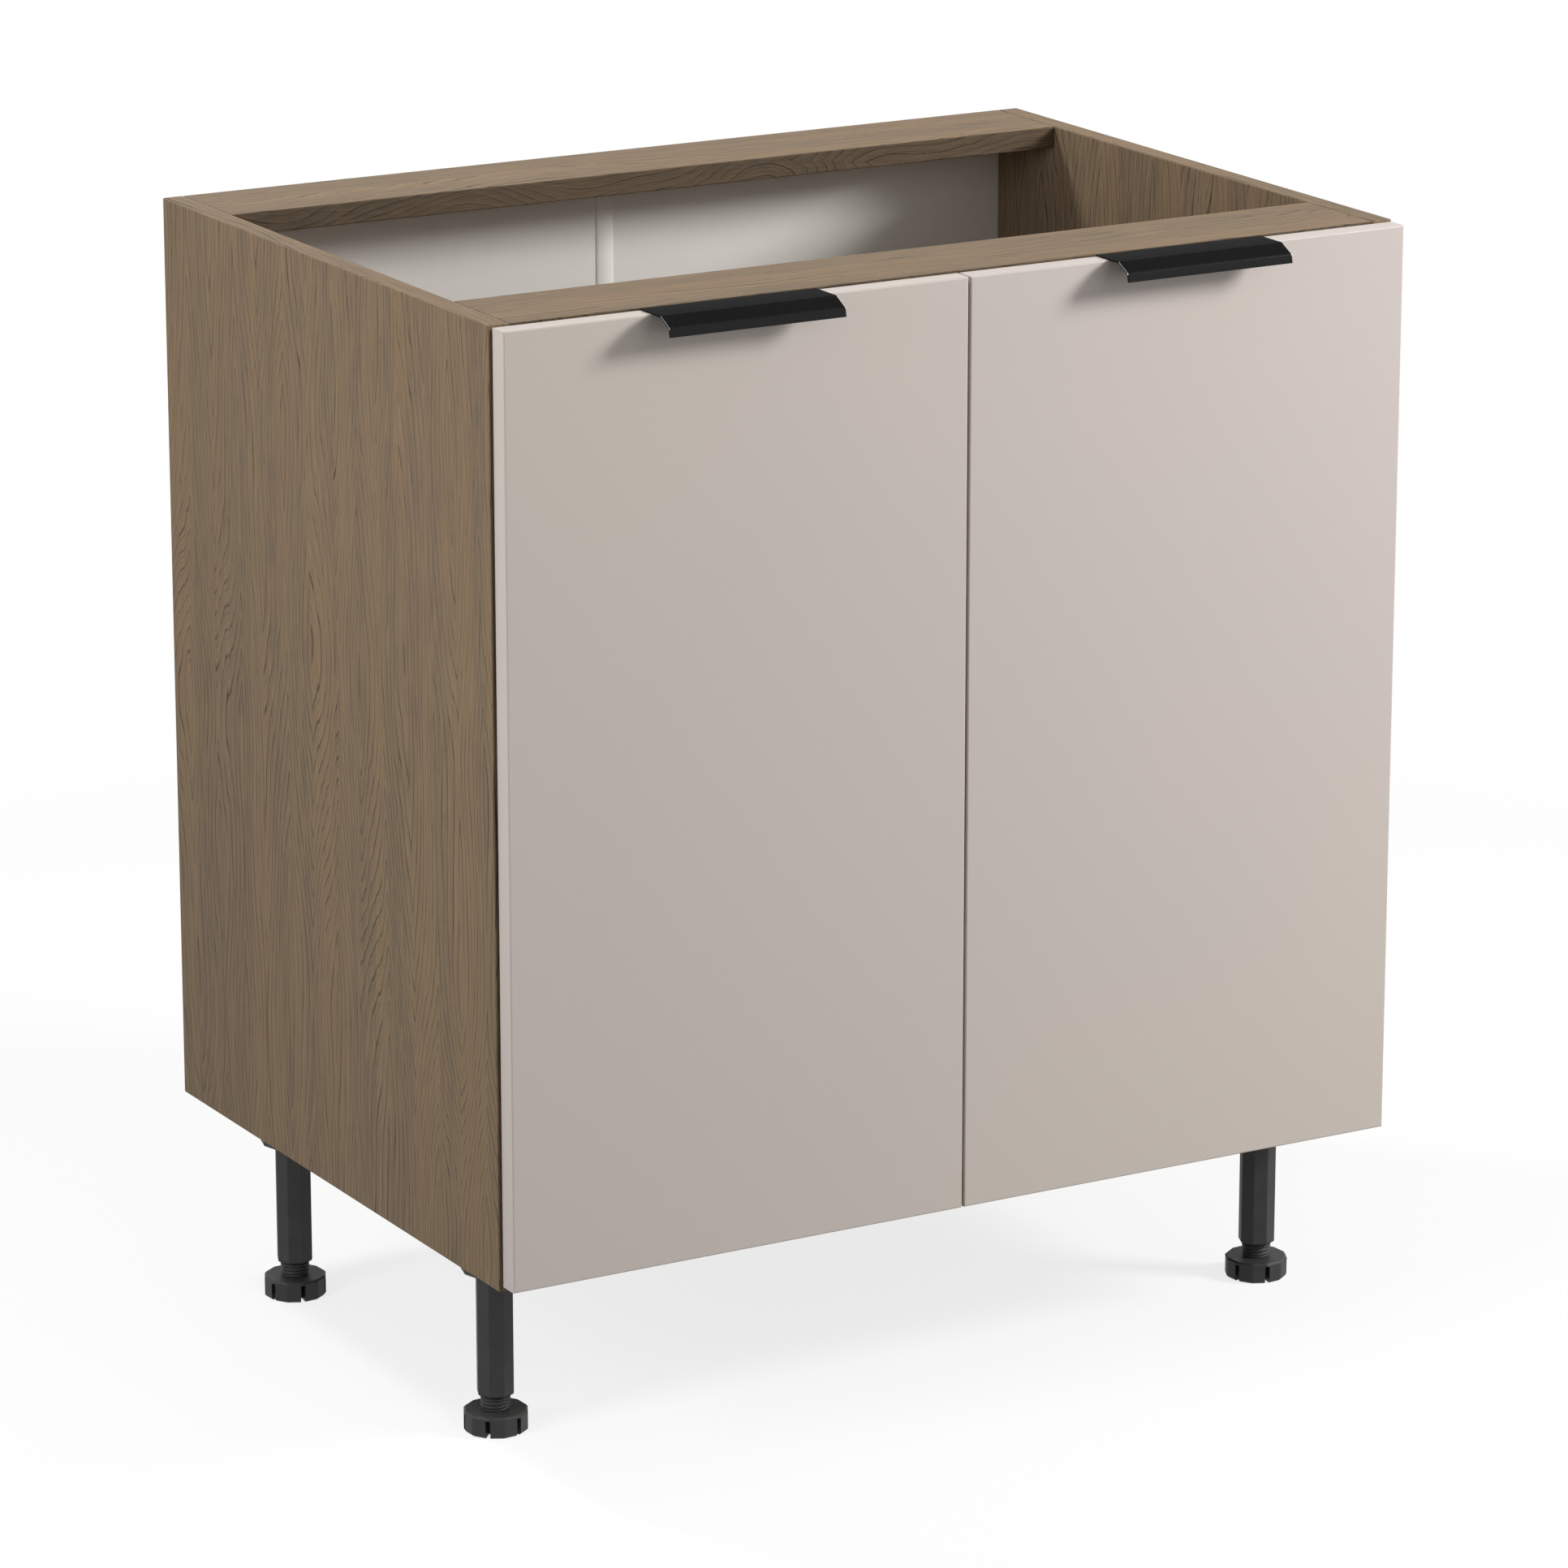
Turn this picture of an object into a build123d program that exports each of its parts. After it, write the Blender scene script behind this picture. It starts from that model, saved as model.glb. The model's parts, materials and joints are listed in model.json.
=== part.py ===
from build123d import *
import math
import os

# Kitchen base cabinet with two doors, in millimetres. X runs along the width, the doors face -Y,
# Z is up, and the origin is on the floor under the middle of the whole cabinet.

# Carcass boards
carcass_width = 800.0
carcass_height = 750.0
carcass_depth = 560.0
board = 18.0
rail_width = 90.0
leg_height = 150.0

# Thin back in two panels, held together by an H-shaped strip
back_thickness = 3.0
back_side_inset = 2.0
back_top_drop = 3.0
back_bottom_rise = 2.0
strip_width = 16.0
strip_web = 2.0
strip_inner_flange = 2.0
strip_rear_flange = 1.2
strip_edge_round = 0.8
strip_play = 0.2

# Nails of the back
nail_radius = 0.8
nail_length = 16.0
nail_head_radius = 2.2
nail_head_height = 0.6
nail_end_inset = 40.0
nails_up_a_side = 5
nails_along_a_board = 4
nail_board_pitch = 190.0

# Knock-down joints: dowels, cams and their bolts
fit_play = 0.05
dowel_radius = 4.0
dowel_length = 30.0
dowel_in_side = 11.0
dowel_end_space = 1.0
dowel_chamfer = 1.0
cam_radius = 7.5
cam_height = 12.5
cam_setback = 34.0
cam_slot_depth = 2.0
cam_slot_width = 1.4
cam_slot_length = 9.0
bolt_radius = 2.5
bolt_in_side = 11.0
bolt_shank_radius = 3.0
bolt_neck_radius = 1.9
bolt_neck_length = 5.0
bolt_head_radius = 3.4
bolt_head_length = 3.0
bolt_hole_radius = 4.0
cam_cavity_play = 0.5
joint_setback = 60.0
joint_spacing = 32.0

# Shelf on pins, in one of a row of holes
shelf_rise = 352.0
shelf_front_setback = 25.0
shelf_back_gap = 8.0
shelf_side_play = 0.5
system_setback = 37.0
system_pitch = 32.0
system_rows = 5
pin_radius = 2.5
pin_hole_depth = 10.0
pin_stub = 9.0
pin_plate = 2.0
pin_plate_width = 14.0
pin_plate_height = 16.0
pin_tongue = 10.0

# Doors
door_thickness = 18.0
door_gap = 2.5
door_side_reveal = 2.0
door_middle_gap = 2.0
door_top_drop = 1.3
door_bottom_rise = 5.0
door_edge_round = 1.2
door_back_round = 0.8
bumper_radius = 4.5
bumper_play = 0.3
bumper_inset = 25.0

# Edge pull handles, bent from sheet
handle_length = 150.0
handle_sheet = 1.2
handle_flat = 13.0
handle_slope_run = 13.5
handle_slope_drop = 6.8
handle_lip_drop = 6.9
handle_lip_lean = 1.5
handle_flange_drop = 22.0
handle_bend = 1.8
handle_screw_spacing = 96.0
handle_screw_drop = 12.0

# Concealed cup hinges, two on each door
hinge_end_offset = 100.0
cup_radius = 17.5
cup_depth = 12.0
cup_wall = 0.9
cup_floor = 0.6
cup_edge_distance = 5.0
cup_flange_radius = 18.6
cup_flange = 1.2
cup_wing_radius = 6.5
cup_screw_spacing = 45.0
cup_screw_offset = 9.5
cup_pin_inset = 11.0
cup_pin_depth = 5.3
cup_pin_radius = 1.0
cup_pin_half = 12.0
link_width = 3.6
link_half = 6.4
link_floor_space = 0.9
link_hook_in = 0.9
link_hook_down = 2.2
link_flat_start = 3.2
link_flat_end = 9.5
link_rise_inset = 2.5
link_rise = 2.2
link_exit_inset = 5.8
link_eye_radius = 3.0
arm_pivot_height = 18.5
arm_pivot_setback = 5.5
arm_pin_radius = 1.5
arm_nose_radius = 3.3
arm_half = 9.0
arm_sheet = 2.0
arm_length = 62.0
arm_body_height = 12.0
arm_top_rise = 1.5
pivot_play = 0.05
plate_sheet = 2.2
plate_wing_length = 52.0
plate_wing_width = 15.0
plate_corner = 5.0
plate_dock_length = 40.0
plate_dock_play = 0.2
plate_screw_spacing = 32.0
arm_screw_spacing = 20.0

# Countersunk and pan-head screws
screw_radius = 1.75
screw_head_radius = 3.2
screw_head_height = 1.6
screw_length = 13.0
arm_screw_radius = 2.0
arm_screw_head_radius = 3.6
arm_screw_head_height = 2.0
arm_screw_length = 9.0

# Legs: socket, post and threaded foot
leg_side_inset = 45.0
leg_front_inset = 95.0
leg_rear_inset = 110.0
socket_radius = 25.0
socket_height = 19.0
socket_plate = 5.0
socket_sides = 12
socket_bevel = 1.0
socket_screw_circle = 20.0
socket_screw_count = 4
socket_screw_start = 45.0
socket_pocket_radius = 3.6
post_across = 28.0
post_sides = 8
post_chamfer = 1.4
post_play = 0.1
post_bore_depth = 72.0
foot_radius = 25.0
foot_sides = 12
foot_height = 17.0
foot_bevel = 1.5
foot_slots = 6
foot_slot_width = 4.0
foot_slot_roof = 2.5
foot_slot_start = 14.0
foot_turns = {"front_left": 48.0, "front_right": 19.0, "rear_left": 19.0, "rear_right": 48.0}
thread_show = 12.0
thread_radius = 12.0
thread_depth = 1.3
thread_pitch = 3.0
thread_crest_share = 0.24
thread_base_share = 0.9
thread_turns = 15
thread_play = 0.08
stem_length = 62.0

# Places worked out from the sizes above
handle_reach = handle_flat + handle_slope_run + handle_lip_lean
front_extent = door_gap + door_thickness + handle_reach
rear_extent = carcass_depth + back_thickness + strip_rear_flange
carcass_front = (front_extent - rear_extent) / 2
carcass_rear = carcass_front + carcass_depth
carcass_mid_y = carcass_front + carcass_depth / 2
bottom_z = leg_height
top_z = leg_height + carcass_height
side_outer = carcass_width / 2
side_inner = side_outer - board
door_back = carcass_front - door_gap
door_front = door_back - door_thickness
door_outer = side_outer - door_side_reveal
door_width = door_outer - door_middle_gap / 2
door_bottom = bottom_z + door_bottom_rise
door_top = top_z - door_top_drop
door_mid_x = door_middle_gap / 2 + door_width / 2
hinge_heights = {"lower": door_bottom + hinge_end_offset, "upper": door_top - hinge_end_offset}
shelf_bottom = bottom_z + board + shelf_rise
hands = {"left": -1, "right": 1}

# Cross boards between the sides: middle Y, depth, underside Z, and where cams and dowels stand
front_rail_y = carcass_front + rail_width / 2
rear_rail_y = carcass_rear - rail_width / 2
bottom_cams = (carcass_front + joint_setback, carcass_rear - joint_setback)
bottom_dowels = (bottom_cams[0] - joint_spacing, bottom_cams[1] + joint_spacing)
boards = {
    "bottom_panel": (carcass_mid_y, carcass_depth, bottom_z, bottom_cams, bottom_dowels),
    "front_top_rail": (
        front_rail_y,
        rail_width,
        top_z - board,
        (front_rail_y - joint_spacing / 2,),
        (front_rail_y + joint_spacing / 2,),
    ),
    "rear_top_rail": (
        rear_rail_y,
        rail_width,
        top_z - board,
        (rear_rail_y - joint_spacing / 2,),
        (rear_rail_y + joint_spacing / 2,),
    ),
}

# Nail places, as X and Z on the back
back_bottom = bottom_z + back_bottom_rise
back_top = top_z - back_top_drop
nail_step = (back_top - back_bottom - 2 * nail_end_inset) / (nails_up_a_side - 1)
side_nail_heights = [back_bottom + nail_end_inset + i * nail_step for i in range(nails_up_a_side)]
board_nail_places = [
    (i - (nails_along_a_board - 1) / 2) * nail_board_pitch for i in range(nails_along_a_board)
]
side_nails = {h: [(h * (side_outer - board / 2), z) for z in side_nail_heights] for h in (-1, 1)}
bottom_nails = [(x, bottom_z + board / 2) for x in board_nail_places]
rail_nails = [(x, top_z - board / 2) for x in board_nail_places]

# Shelf pin holes: two columns, with the pins in the middle row
system_columns = (carcass_front + system_setback, carcass_rear - 2 * system_setback)
pin_height = shelf_bottom - pin_plate_height / 2
system_heights = [pin_height + (i - system_rows // 2) * system_pitch for i in range(system_rows)]

# Hinge points in plan: inward from the door's outer edge, and back from the door's front
cup_centre = cup_edge_distance + cup_radius
cup_screw_inset = cup_centre + cup_screw_offset
side_inset = board - door_side_reveal
cup_pivot = (cup_pin_inset, door_thickness - cup_pin_depth)
arm_pivot = (side_inset + arm_pivot_height, door_thickness + door_gap + arm_pivot_setback)
cup_inside_floor = door_thickness - cup_depth + cup_floor
link_low = cup_inside_floor + link_floor_space + link_width / 2
link_path = [
    cup_pivot,
    (cup_pivot[0] + link_hook_in, cup_pivot[1] - link_hook_down),
    (cup_pivot[0] + link_flat_start, link_low),
    (cup_pivot[0] + link_flat_end, link_low),
    (cup_centre + link_rise_inset, link_low + link_rise),
    (cup_centre + link_exit_inset, door_thickness),
    arm_pivot,
]
plate_y = door_thickness + door_gap + system_setback
arm_top = arm_pivot[0] + arm_top_rise
arm_rear = arm_pivot[1] + arm_length
arm_body_front = arm_pivot[1] + arm_nose_radius + arm_sheet
dock_y = (arm_body_front + arm_rear) / 2

# Leg places and heights
leg_places = {
    "front_left": (-side_outer + leg_side_inset, carcass_front + leg_front_inset),
    "front_right": (side_outer - leg_side_inset, carcass_front + leg_front_inset),
    "rear_left": (-side_outer + leg_side_inset, carcass_rear - leg_rear_inset),
    "rear_right": (side_outer - leg_side_inset, carcass_rear - leg_rear_inset),
}
post_top = leg_height - socket_plate
post_bottom = foot_height + thread_show


def save(piece, name):
    """Label one finished piece and write it to its own file."""
    piece.label = name
    export_step(piece, f"parts/{name}.step")


def plan(hand, inset, back):
    """Model X and Y of a hinge point given inward from the door's outer edge and back from its front."""
    return (hand * (door_outer - inset), door_front + back)


def bar_x(radius, start, end, y, z, mode=Mode.ADD):
    """A round bar along X."""
    with Locations(((start + end) / 2, y, z)):
        Cylinder(radius, abs(end - start), rotation=(0, 90, 0), mode=mode)


def bar_y(radius, start, end, x, z, mode=Mode.ADD):
    """A round bar along Y."""
    with Locations((x, (start + end) / 2, z)):
        Cylinder(radius, abs(end - start), rotation=(90, 0, 0), mode=mode)


def bar_z(radius, start, end, x, y, mode=Mode.ADD):
    """A round bar along Z."""
    with Locations((x, y, (start + end) / 2)):
        Cylinder(radius, abs(end - start), mode=mode)


def block(x, y, z, mode=Mode.ADD):
    """A box between three pairs of limits."""
    with Locations(((x[0] + x[1]) / 2, (y[0] + y[1]) / 2, (z[0] + z[1]) / 2)):
        Box(abs(x[1] - x[0]), abs(y[1] - y[0]), abs(z[1] - z[0]), mode=mode)


def nail_holes(places):
    """Thin holes in a board's rear edge, one for each nail."""
    for x, z in places:
        bar_y(nail_radius + fit_play, carcass_rear - nail_length, carcass_rear, x, z, Mode.SUBTRACT)


def taper_screw(plane, play=0.0, mode=Mode.ADD):
    """A countersunk screw: the plane lies on the head's flat face, and the shank runs along its normal."""
    start = (Align.CENTER, Align.CENTER, Align.MIN)
    with Locations(plane.location):
        Cone(screw_head_radius + play, screw_radius + play, screw_head_height, align=start, mode=mode)
        Cylinder(screw_radius + play, screw_length, align=start, mode=mode)


# Side panels, with blind holes for dowels, cam bolts, shelf pins and hinge plate screws
def side_panel(hand):
    """One upright side of the carcass."""
    face = hand * side_inner
    with BuildPart() as panel:
        block((face, hand * side_outer), (carcass_front, carcass_rear), (bottom_z, top_z))
        for mid_y, depth, underside, cams, dowels in boards.values():
            axis_z = underside + board / 2
            for y in cams:
                bar_x(bolt_radius + fit_play, face, face + hand * bolt_in_side, y, axis_z, Mode.SUBTRACT)
            for y in dowels:
                deep = face + hand * (dowel_in_side + dowel_end_space)
                bar_x(dowel_radius + fit_play, face, deep, y, axis_z, Mode.SUBTRACT)
        for y in system_columns:
            for z in system_heights:
                bar_x(pin_radius, face, face + hand * pin_hole_depth, y, z, Mode.SUBTRACT)
        for height in hinge_heights.values():
            for step in (-0.5, 0.5):
                z = height + step * plate_screw_spacing
                deep = face + hand * screw_length
                bar_x(screw_radius + fit_play, face, deep, door_front + plate_y, z, Mode.SUBTRACT)
        nail_holes(side_nails[hand])
    return panel.part


# Boards between the sides
def cross_board(name):
    """A board between the sides, with its dowel holes, cam pockets and bolt holes."""
    mid_y, depth, underside, cams, dowels = boards[name]
    axis_z = underside + board / 2
    half = side_inner
    block((-half, half), (mid_y - depth / 2, mid_y + depth / 2), (underside, underside + board))
    for hand in hands.values():
        end = hand * half
        for y in dowels:
            deep = end - hand * (dowel_length - dowel_in_side + dowel_end_space)
            bar_x(dowel_radius + fit_play, end, deep, y, axis_z, Mode.SUBTRACT)
        for y in cams:
            centre = end - hand * cam_setback
            pocket_top = underside + cam_height + fit_play
            bar_z(cam_radius + fit_play, underside, pocket_top, centre, y, Mode.SUBTRACT)
            bar_x(bolt_hole_radius, end, centre, y, axis_z, Mode.SUBTRACT)


def cams_of(name):
    """Cam housings of one board: drums with a cavity for the bolt's head and a cross slot below."""
    mid_y, depth, underside, cams, dowels = boards[name]
    cavity = bolt_head_radius + cam_cavity_play
    axis_z = underside + board / 2
    for hand in hands.values():
        centre = hand * (side_inner - cam_setback)
        inner = centre - hand * (bolt_head_length + cam_cavity_play)
        outer = centre + hand * 2 * cam_radius
        slot_z = (underside, underside + cam_slot_depth)
        for y in cams:
            bar_z(cam_radius, underside, underside + cam_height, centre, y)
            block((inner, outer), (y - cavity, y + cavity), (axis_z - cavity, axis_z + cavity), Mode.SUBTRACT)
            for long_x, long_y in ((cam_slot_length, cam_slot_width), (cam_slot_width, cam_slot_length)):
                span_x = (centre - long_x / 2, centre + long_x / 2)
                span_y = (y - long_y / 2, y + long_y / 2)
                block(span_x, span_y, slot_z, Mode.SUBTRACT)


def bolts_of(name):
    """Cam bolts of one board: thread in the side, shank, thin neck and round head."""
    mid_y, depth, underside, cams, dowels = boards[name]
    axis_z = underside + board / 2
    for hand in hands.values():
        end = hand * side_inner
        head_start = hand * (side_inner - cam_setback + bolt_head_length / 2)
        neck_start = head_start + hand * bolt_neck_length
        for y in cams:
            bar_x(bolt_radius, end, end + hand * bolt_in_side, y, axis_z)
            bar_x(bolt_shank_radius, end, neck_start, y, axis_z)
            bar_x(bolt_neck_radius, neck_start, head_start, y, axis_z)
            bar_x(bolt_head_radius, head_start, head_start - hand * bolt_head_length, y, axis_z)


def dowels_of(name):
    """Wooden dowels of one board, half in the board's end and half in the side."""
    mid_y, depth, underside, cams, dowels = boards[name]
    axis_z = underside + board / 2
    for hand in hands.values():
        for y in dowels:
            outer = hand * (side_inner + dowel_in_side)
            bar_x(dowel_radius, outer, outer - hand * dowel_length, y, axis_z)


# Back
def back_panel(hand):
    """One half of the thin back, from the cabinet's side to the joining strip."""
    with BuildPart() as panel:
        block(
            (hand * (strip_web / 2 + strip_play), hand * (side_outer - back_side_inset)),
            (carcass_rear, carcass_rear + back_thickness),
            (back_bottom, back_top),
        )
        for x, z in side_nails[hand] + bottom_nails + rail_nails:
            if x * hand > 0:
                end = carcass_rear + back_thickness
                bar_y(nail_radius + fit_play, carcass_rear, end, x, z, Mode.SUBTRACT)
    return panel.part


def joining_strip():
    """H-shaped strip: a web between the two back panels, a rear flange and a rounded inner flange."""
    inner_span = (bottom_z + board + strip_play, top_z - board - strip_play)
    half = strip_width / 2
    rear = carcass_rear + back_thickness
    with BuildPart() as strip:
        block((-half, half), (carcass_rear - strip_inner_flange, carcass_rear), inner_span)
        inner_face = strip.faces().sort_by(Axis.Y)[0]
        fillet(inner_face.edges().filter_by(Axis.Z), strip_edge_round)
        block((-strip_web / 2, strip_web / 2), (carcass_rear, rear), (back_bottom, back_top))
        block((-half, half), (rear, rear + strip_rear_flange), (back_bottom, back_top))
    return strip.part


# Shelf and its pins
def shelf_board():
    """Loose shelf that lies on the four pins."""
    half = side_inner - shelf_side_play
    with BuildPart() as shelf:
        block(
            (-half, half),
            (carcass_front + shelf_front_setback, carcass_rear - shelf_back_gap),
            (shelf_bottom, shelf_bottom + board),
        )
    return shelf.part


def shelf_pin_set():
    """Four shelf supports: a stub in the side, an upright plate and a tongue under the shelf."""
    with BuildPart() as pins:
        for hand in hands.values():
            face = hand * side_inner
            for y in system_columns:
                span_y = (y - pin_plate_width / 2, y + pin_plate_width / 2)
                bar_x(pin_radius - fit_play, face, face + hand * pin_stub, y, pin_height)
                plate_z = (shelf_bottom - pin_plate_height, shelf_bottom)
                block((face, face - hand * pin_plate), span_y, plate_z)
                tongue_z = (shelf_bottom - pin_plate, shelf_bottom)
                block((face, face - hand * pin_tongue), span_y, tongue_z)
    return pins.part


# Doors, handles and bumpers
def cup_screw_plane(hand, height, step):
    """Plane on a cup flange at one of its screws, looking into the door."""
    x, y = plan(hand, cup_screw_inset, door_thickness + cup_flange)
    z = height + step * cup_screw_spacing
    return Plane(origin=(x, y, z), x_dir=(1, 0, 0), z_dir=(0, -1, 0))


def handle_screw_plane(hand, step):
    """Plane on a handle's rear flange at one of its screws, looking into the door."""
    x = hand * door_mid_x + step * handle_screw_spacing
    z = door_top - handle_screw_drop
    return Plane(origin=(x, door_back + handle_sheet, z), x_dir=(1, 0, 0), z_dir=(0, -1, 0))


def door_panel(hand):
    """One door, with rounded front edges, two cup bores and the pilot holes of its screws."""
    with BuildPart() as door:
        block(
            (hand * door_middle_gap / 2, hand * door_outer),
            (door_front, door_back),
            (door_bottom, door_top),
        )
        front_face = door.faces().sort_by(Axis.Y)[0]
        fillet(front_face.edges(), door_edge_round)
        back_face = door.faces().sort_by(Axis.Y)[-1]
        fillet(back_face.edges(), door_back_round)
        for height in hinge_heights.values():
            x, y = plan(hand, cup_centre, 0)
            deep = door_back - cup_depth - fit_play
            bar_y(cup_radius + fit_play, deep, door_back, x, height, Mode.SUBTRACT)
            for step in (-0.5, 0.5):
                taper_screw(cup_screw_plane(hand, height, step), fit_play, Mode.SUBTRACT)
        for step in (-0.5, 0.5):
            taper_screw(handle_screw_plane(hand, step), fit_play, Mode.SUBTRACT)
    return door.part


def edge_pull(hand):
    """Handle of bent sheet: a flange behind the door, a flat over its top, a slope and a lip."""
    rear = door_back + handle_sheet
    top = door_top + handle_sheet
    nose = door_front - handle_flat
    slope_end = (nose - handle_slope_run, top - handle_slope_drop)
    section = Plane(origin=(hand * door_mid_x, 0, 0), x_dir=(0, 1, 0), z_dir=(1, 0, 0))
    with BuildPart() as pull:
        with BuildSketch(section):
            with BuildLine():
                outside = FilletPolyline(
                    (rear, door_top - handle_flange_drop),
                    (rear, top),
                    (nose, top),
                    slope_end,
                    (slope_end[0] - handle_lip_lean, slope_end[1] - handle_lip_drop),
                    radius=handle_bend,
                )
                offset(outside, amount=handle_sheet, side=Side.LEFT)
            make_face()
        extrude(amount=handle_length / 2, both=True)
        for step in (-0.5, 0.5):
            taper_screw(handle_screw_plane(hand, step), fit_play, Mode.SUBTRACT)
    return pull.part


def bumper_pair(hand):
    """Soft pads on the door's back that meet the front rail and the bottom panel."""
    x = hand * (door_middle_gap / 2 + bumper_inset)
    end = door_back + door_gap - bumper_play
    with BuildPart() as pads:
        for z in (bottom_z + board / 2 + bumper_play, top_z - board / 2):
            bar_y(bumper_radius, door_back, end, x, z)
    return pads.part


def screw_set(places):
    """Countersunk screws, one on each plane."""
    with BuildPart() as screws:
        for place in places:
            taper_screw(place)
    return screws.part


# Hinges
def cup_outline(hand, height, radius_x):
    """Outline of a cup flange: a round middle with a wing at each screw."""
    x, y = plan(hand, cup_centre, 0)
    wing_x, y = plan(hand, cup_screw_inset, 0)
    with Locations((x, height)):
        Circle(radius_x)
    for step in (-0.5, 0.5):
        with Locations((wing_x, height + step * cup_screw_spacing)):
            Circle(cup_wing_radius)


def hinge_cup(hand, height):
    """Hinge cup: a drum sunk in the door, with a flange on the door's back and holes for its pin."""
    x, y = plan(hand, cup_centre, 0)
    pin_x, pin_y = plan(hand, *cup_pivot)
    back = Plane(origin=(0, door_back, 0), x_dir=(1, 0, 0), z_dir=(0, -1, 0))
    with BuildPart() as cup:
        with BuildSketch(back):
            cup_outline(hand, height, cup_flange_radius)
            make_hull()
        extrude(amount=-cup_flange)
        bar_y(cup_radius, door_back - cup_depth, door_back, x, height)
        floor = door_back - cup_depth + cup_floor
        bar_y(cup_radius - cup_wall, floor, door_back + cup_flange, x, height, Mode.SUBTRACT)
        reach = cup_pin_half + fit_play
        bar_z(cup_pin_radius + fit_play, height - reach, height + reach, pin_x, pin_y, Mode.SUBTRACT)
        for step in (-0.5, 0.5):
            taper_screw(cup_screw_plane(hand, height, step), fit_play, Mode.SUBTRACT)
    return cup.part


def cup_pins(hand):
    """Pivot pins across the two cups of one door."""
    pin_x, pin_y = plan(hand, *cup_pivot)
    with BuildPart() as pins:
        for height in hinge_heights.values():
            bar_z(cup_pin_radius, height - cup_pin_half, height + cup_pin_half, pin_x, pin_y)
    return pins.part


def link_pair(hand):
    """Curved links of one door's two hinges, from the cup pin down along the cup and back to the arm."""
    with BuildPart() as links:
        for height in hinge_heights.values():
            with BuildSketch(Plane.XY.offset(height)):
                places = [plan(hand, *point) for point in link_path]
                for (x0, y0), (x1, y1) in zip(places, places[1:]):
                    angle = math.degrees(math.atan2(y1 - y0, x1 - x0))
                    span = math.hypot(x1 - x0, y1 - y0)
                    with Locations(((x0 + x1) / 2, (y0 + y1) / 2)):
                        SlotCenterToCenter(span, link_width, rotation=angle)
                with Locations(places[-1]):
                    Circle(link_eye_radius)
                    Circle(arm_pin_radius + pivot_play, mode=Mode.SUBTRACT)
                with Locations(places[0]):
                    Circle(cup_pin_radius + pivot_play, mode=Mode.SUBTRACT)
            extrude(amount=link_half, both=True)
    return links.part


def hinge_arm(hand, height):
    """Hinge arm: a channel that straddles the plate's dock, with two cheeks that carry the pivot."""
    nose = plan(hand, *arm_pivot)
    low = arm_top - arm_body_height
    near = plan(hand, low, arm_body_front)
    far = plan(hand, arm_top, arm_rear)
    pocket_far = plan(hand, arm_top - arm_sheet, arm_rear + arm_sheet)
    clear_far = plan(hand, arm_top + 2 * arm_nose_radius, arm_body_front)
    clear_near = plan(hand, low - arm_sheet, arm_pivot[1] - 2 * arm_nose_radius)
    inside = (height - arm_half + arm_sheet, height + arm_half - arm_sheet)
    outside = (height - arm_half, height + arm_half)
    with BuildPart() as arm:
        with BuildSketch(Plane.XY.offset(height)):
            with Locations(nose):
                Circle(arm_nose_radius)
            with Locations(((near[0] + far[0]) / 2, arm_body_front + door_front + arm_sheet / 2)):
                Rectangle(arm_body_height, arm_sheet)
            make_hull()
        extrude(amount=arm_half, both=True)
        block((near[0], far[0]), (near[1], far[1]), outside)
        block((near[0], pocket_far[0]), (near[1], pocket_far[1]), inside, Mode.SUBTRACT)
        block((clear_near[0], clear_far[0]), (clear_near[1], clear_far[1]), inside, Mode.SUBTRACT)
        bar_z(arm_pin_radius + fit_play, *outside, *nose, Mode.SUBTRACT)
        for step in (-0.5, 0.5):
            y = door_front + dock_y + step * arm_screw_spacing
            bar_x(arm_screw_radius + fit_play, pocket_far[0], far[0], y, height, Mode.SUBTRACT)
    return arm.part


def hinge_plate(hand, height):
    """Mounting plate: a cross wing screwed to the side, and the dock that carries the arm."""
    face = plan(hand, side_inset, 0)[0]
    wing = plan(hand, side_inset + plate_sheet, 0)[0]
    dock_top = plan(hand, arm_top - arm_sheet, 0)[0]
    dock_half = arm_half - arm_sheet - plate_dock_play
    middle = door_front + dock_y
    screw_y = door_front + plate_y
    with BuildPart() as plate:
        block(
            (face, wing),
            (screw_y - plate_wing_width / 2, screw_y + plate_wing_width / 2),
            (height - plate_wing_length / 2, height + plate_wing_length / 2),
        )
        corners = plate.edges().filter_by(Axis.X)
        fillet(corners, plate_corner)
        dock_y_span = (middle - plate_dock_length / 2, middle + plate_dock_length / 2)
        block((face, dock_top), dock_y_span, (height - dock_half, height + dock_half))
        for place in plate_screw_planes(hand, height):
            taper_screw(place, fit_play, Mode.SUBTRACT)
        for step in (-0.5, 0.5):
            y = middle + step * arm_screw_spacing
            deep = plan(hand, arm_top - arm_screw_length, 0)[0]
            bar_x(arm_screw_radius + fit_play, deep, dock_top, y, height, Mode.SUBTRACT)
    return plate.part


def plate_screw_planes(hand, height):
    """Planes on a mounting plate's wing at its two screws, looking into the side."""
    x = plan(hand, side_inset + plate_sheet, 0)[0]
    return [
        Plane(
            origin=(x, door_front + plate_y, height + step * plate_screw_spacing),
            x_dir=(0, 1, 0),
            z_dir=(hand, 0, 0),
        )
        for step in (-0.5, 0.5)
    ]


def arm_pins():
    """Pivot pins across the cheeks of the four hinge arms."""
    with BuildPart() as pins:
        for hand in hands.values():
            for height in hinge_heights.values():
                bar_z(arm_pin_radius, height - arm_half, height + arm_half, *plan(hand, *arm_pivot))
    return pins.part


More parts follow.
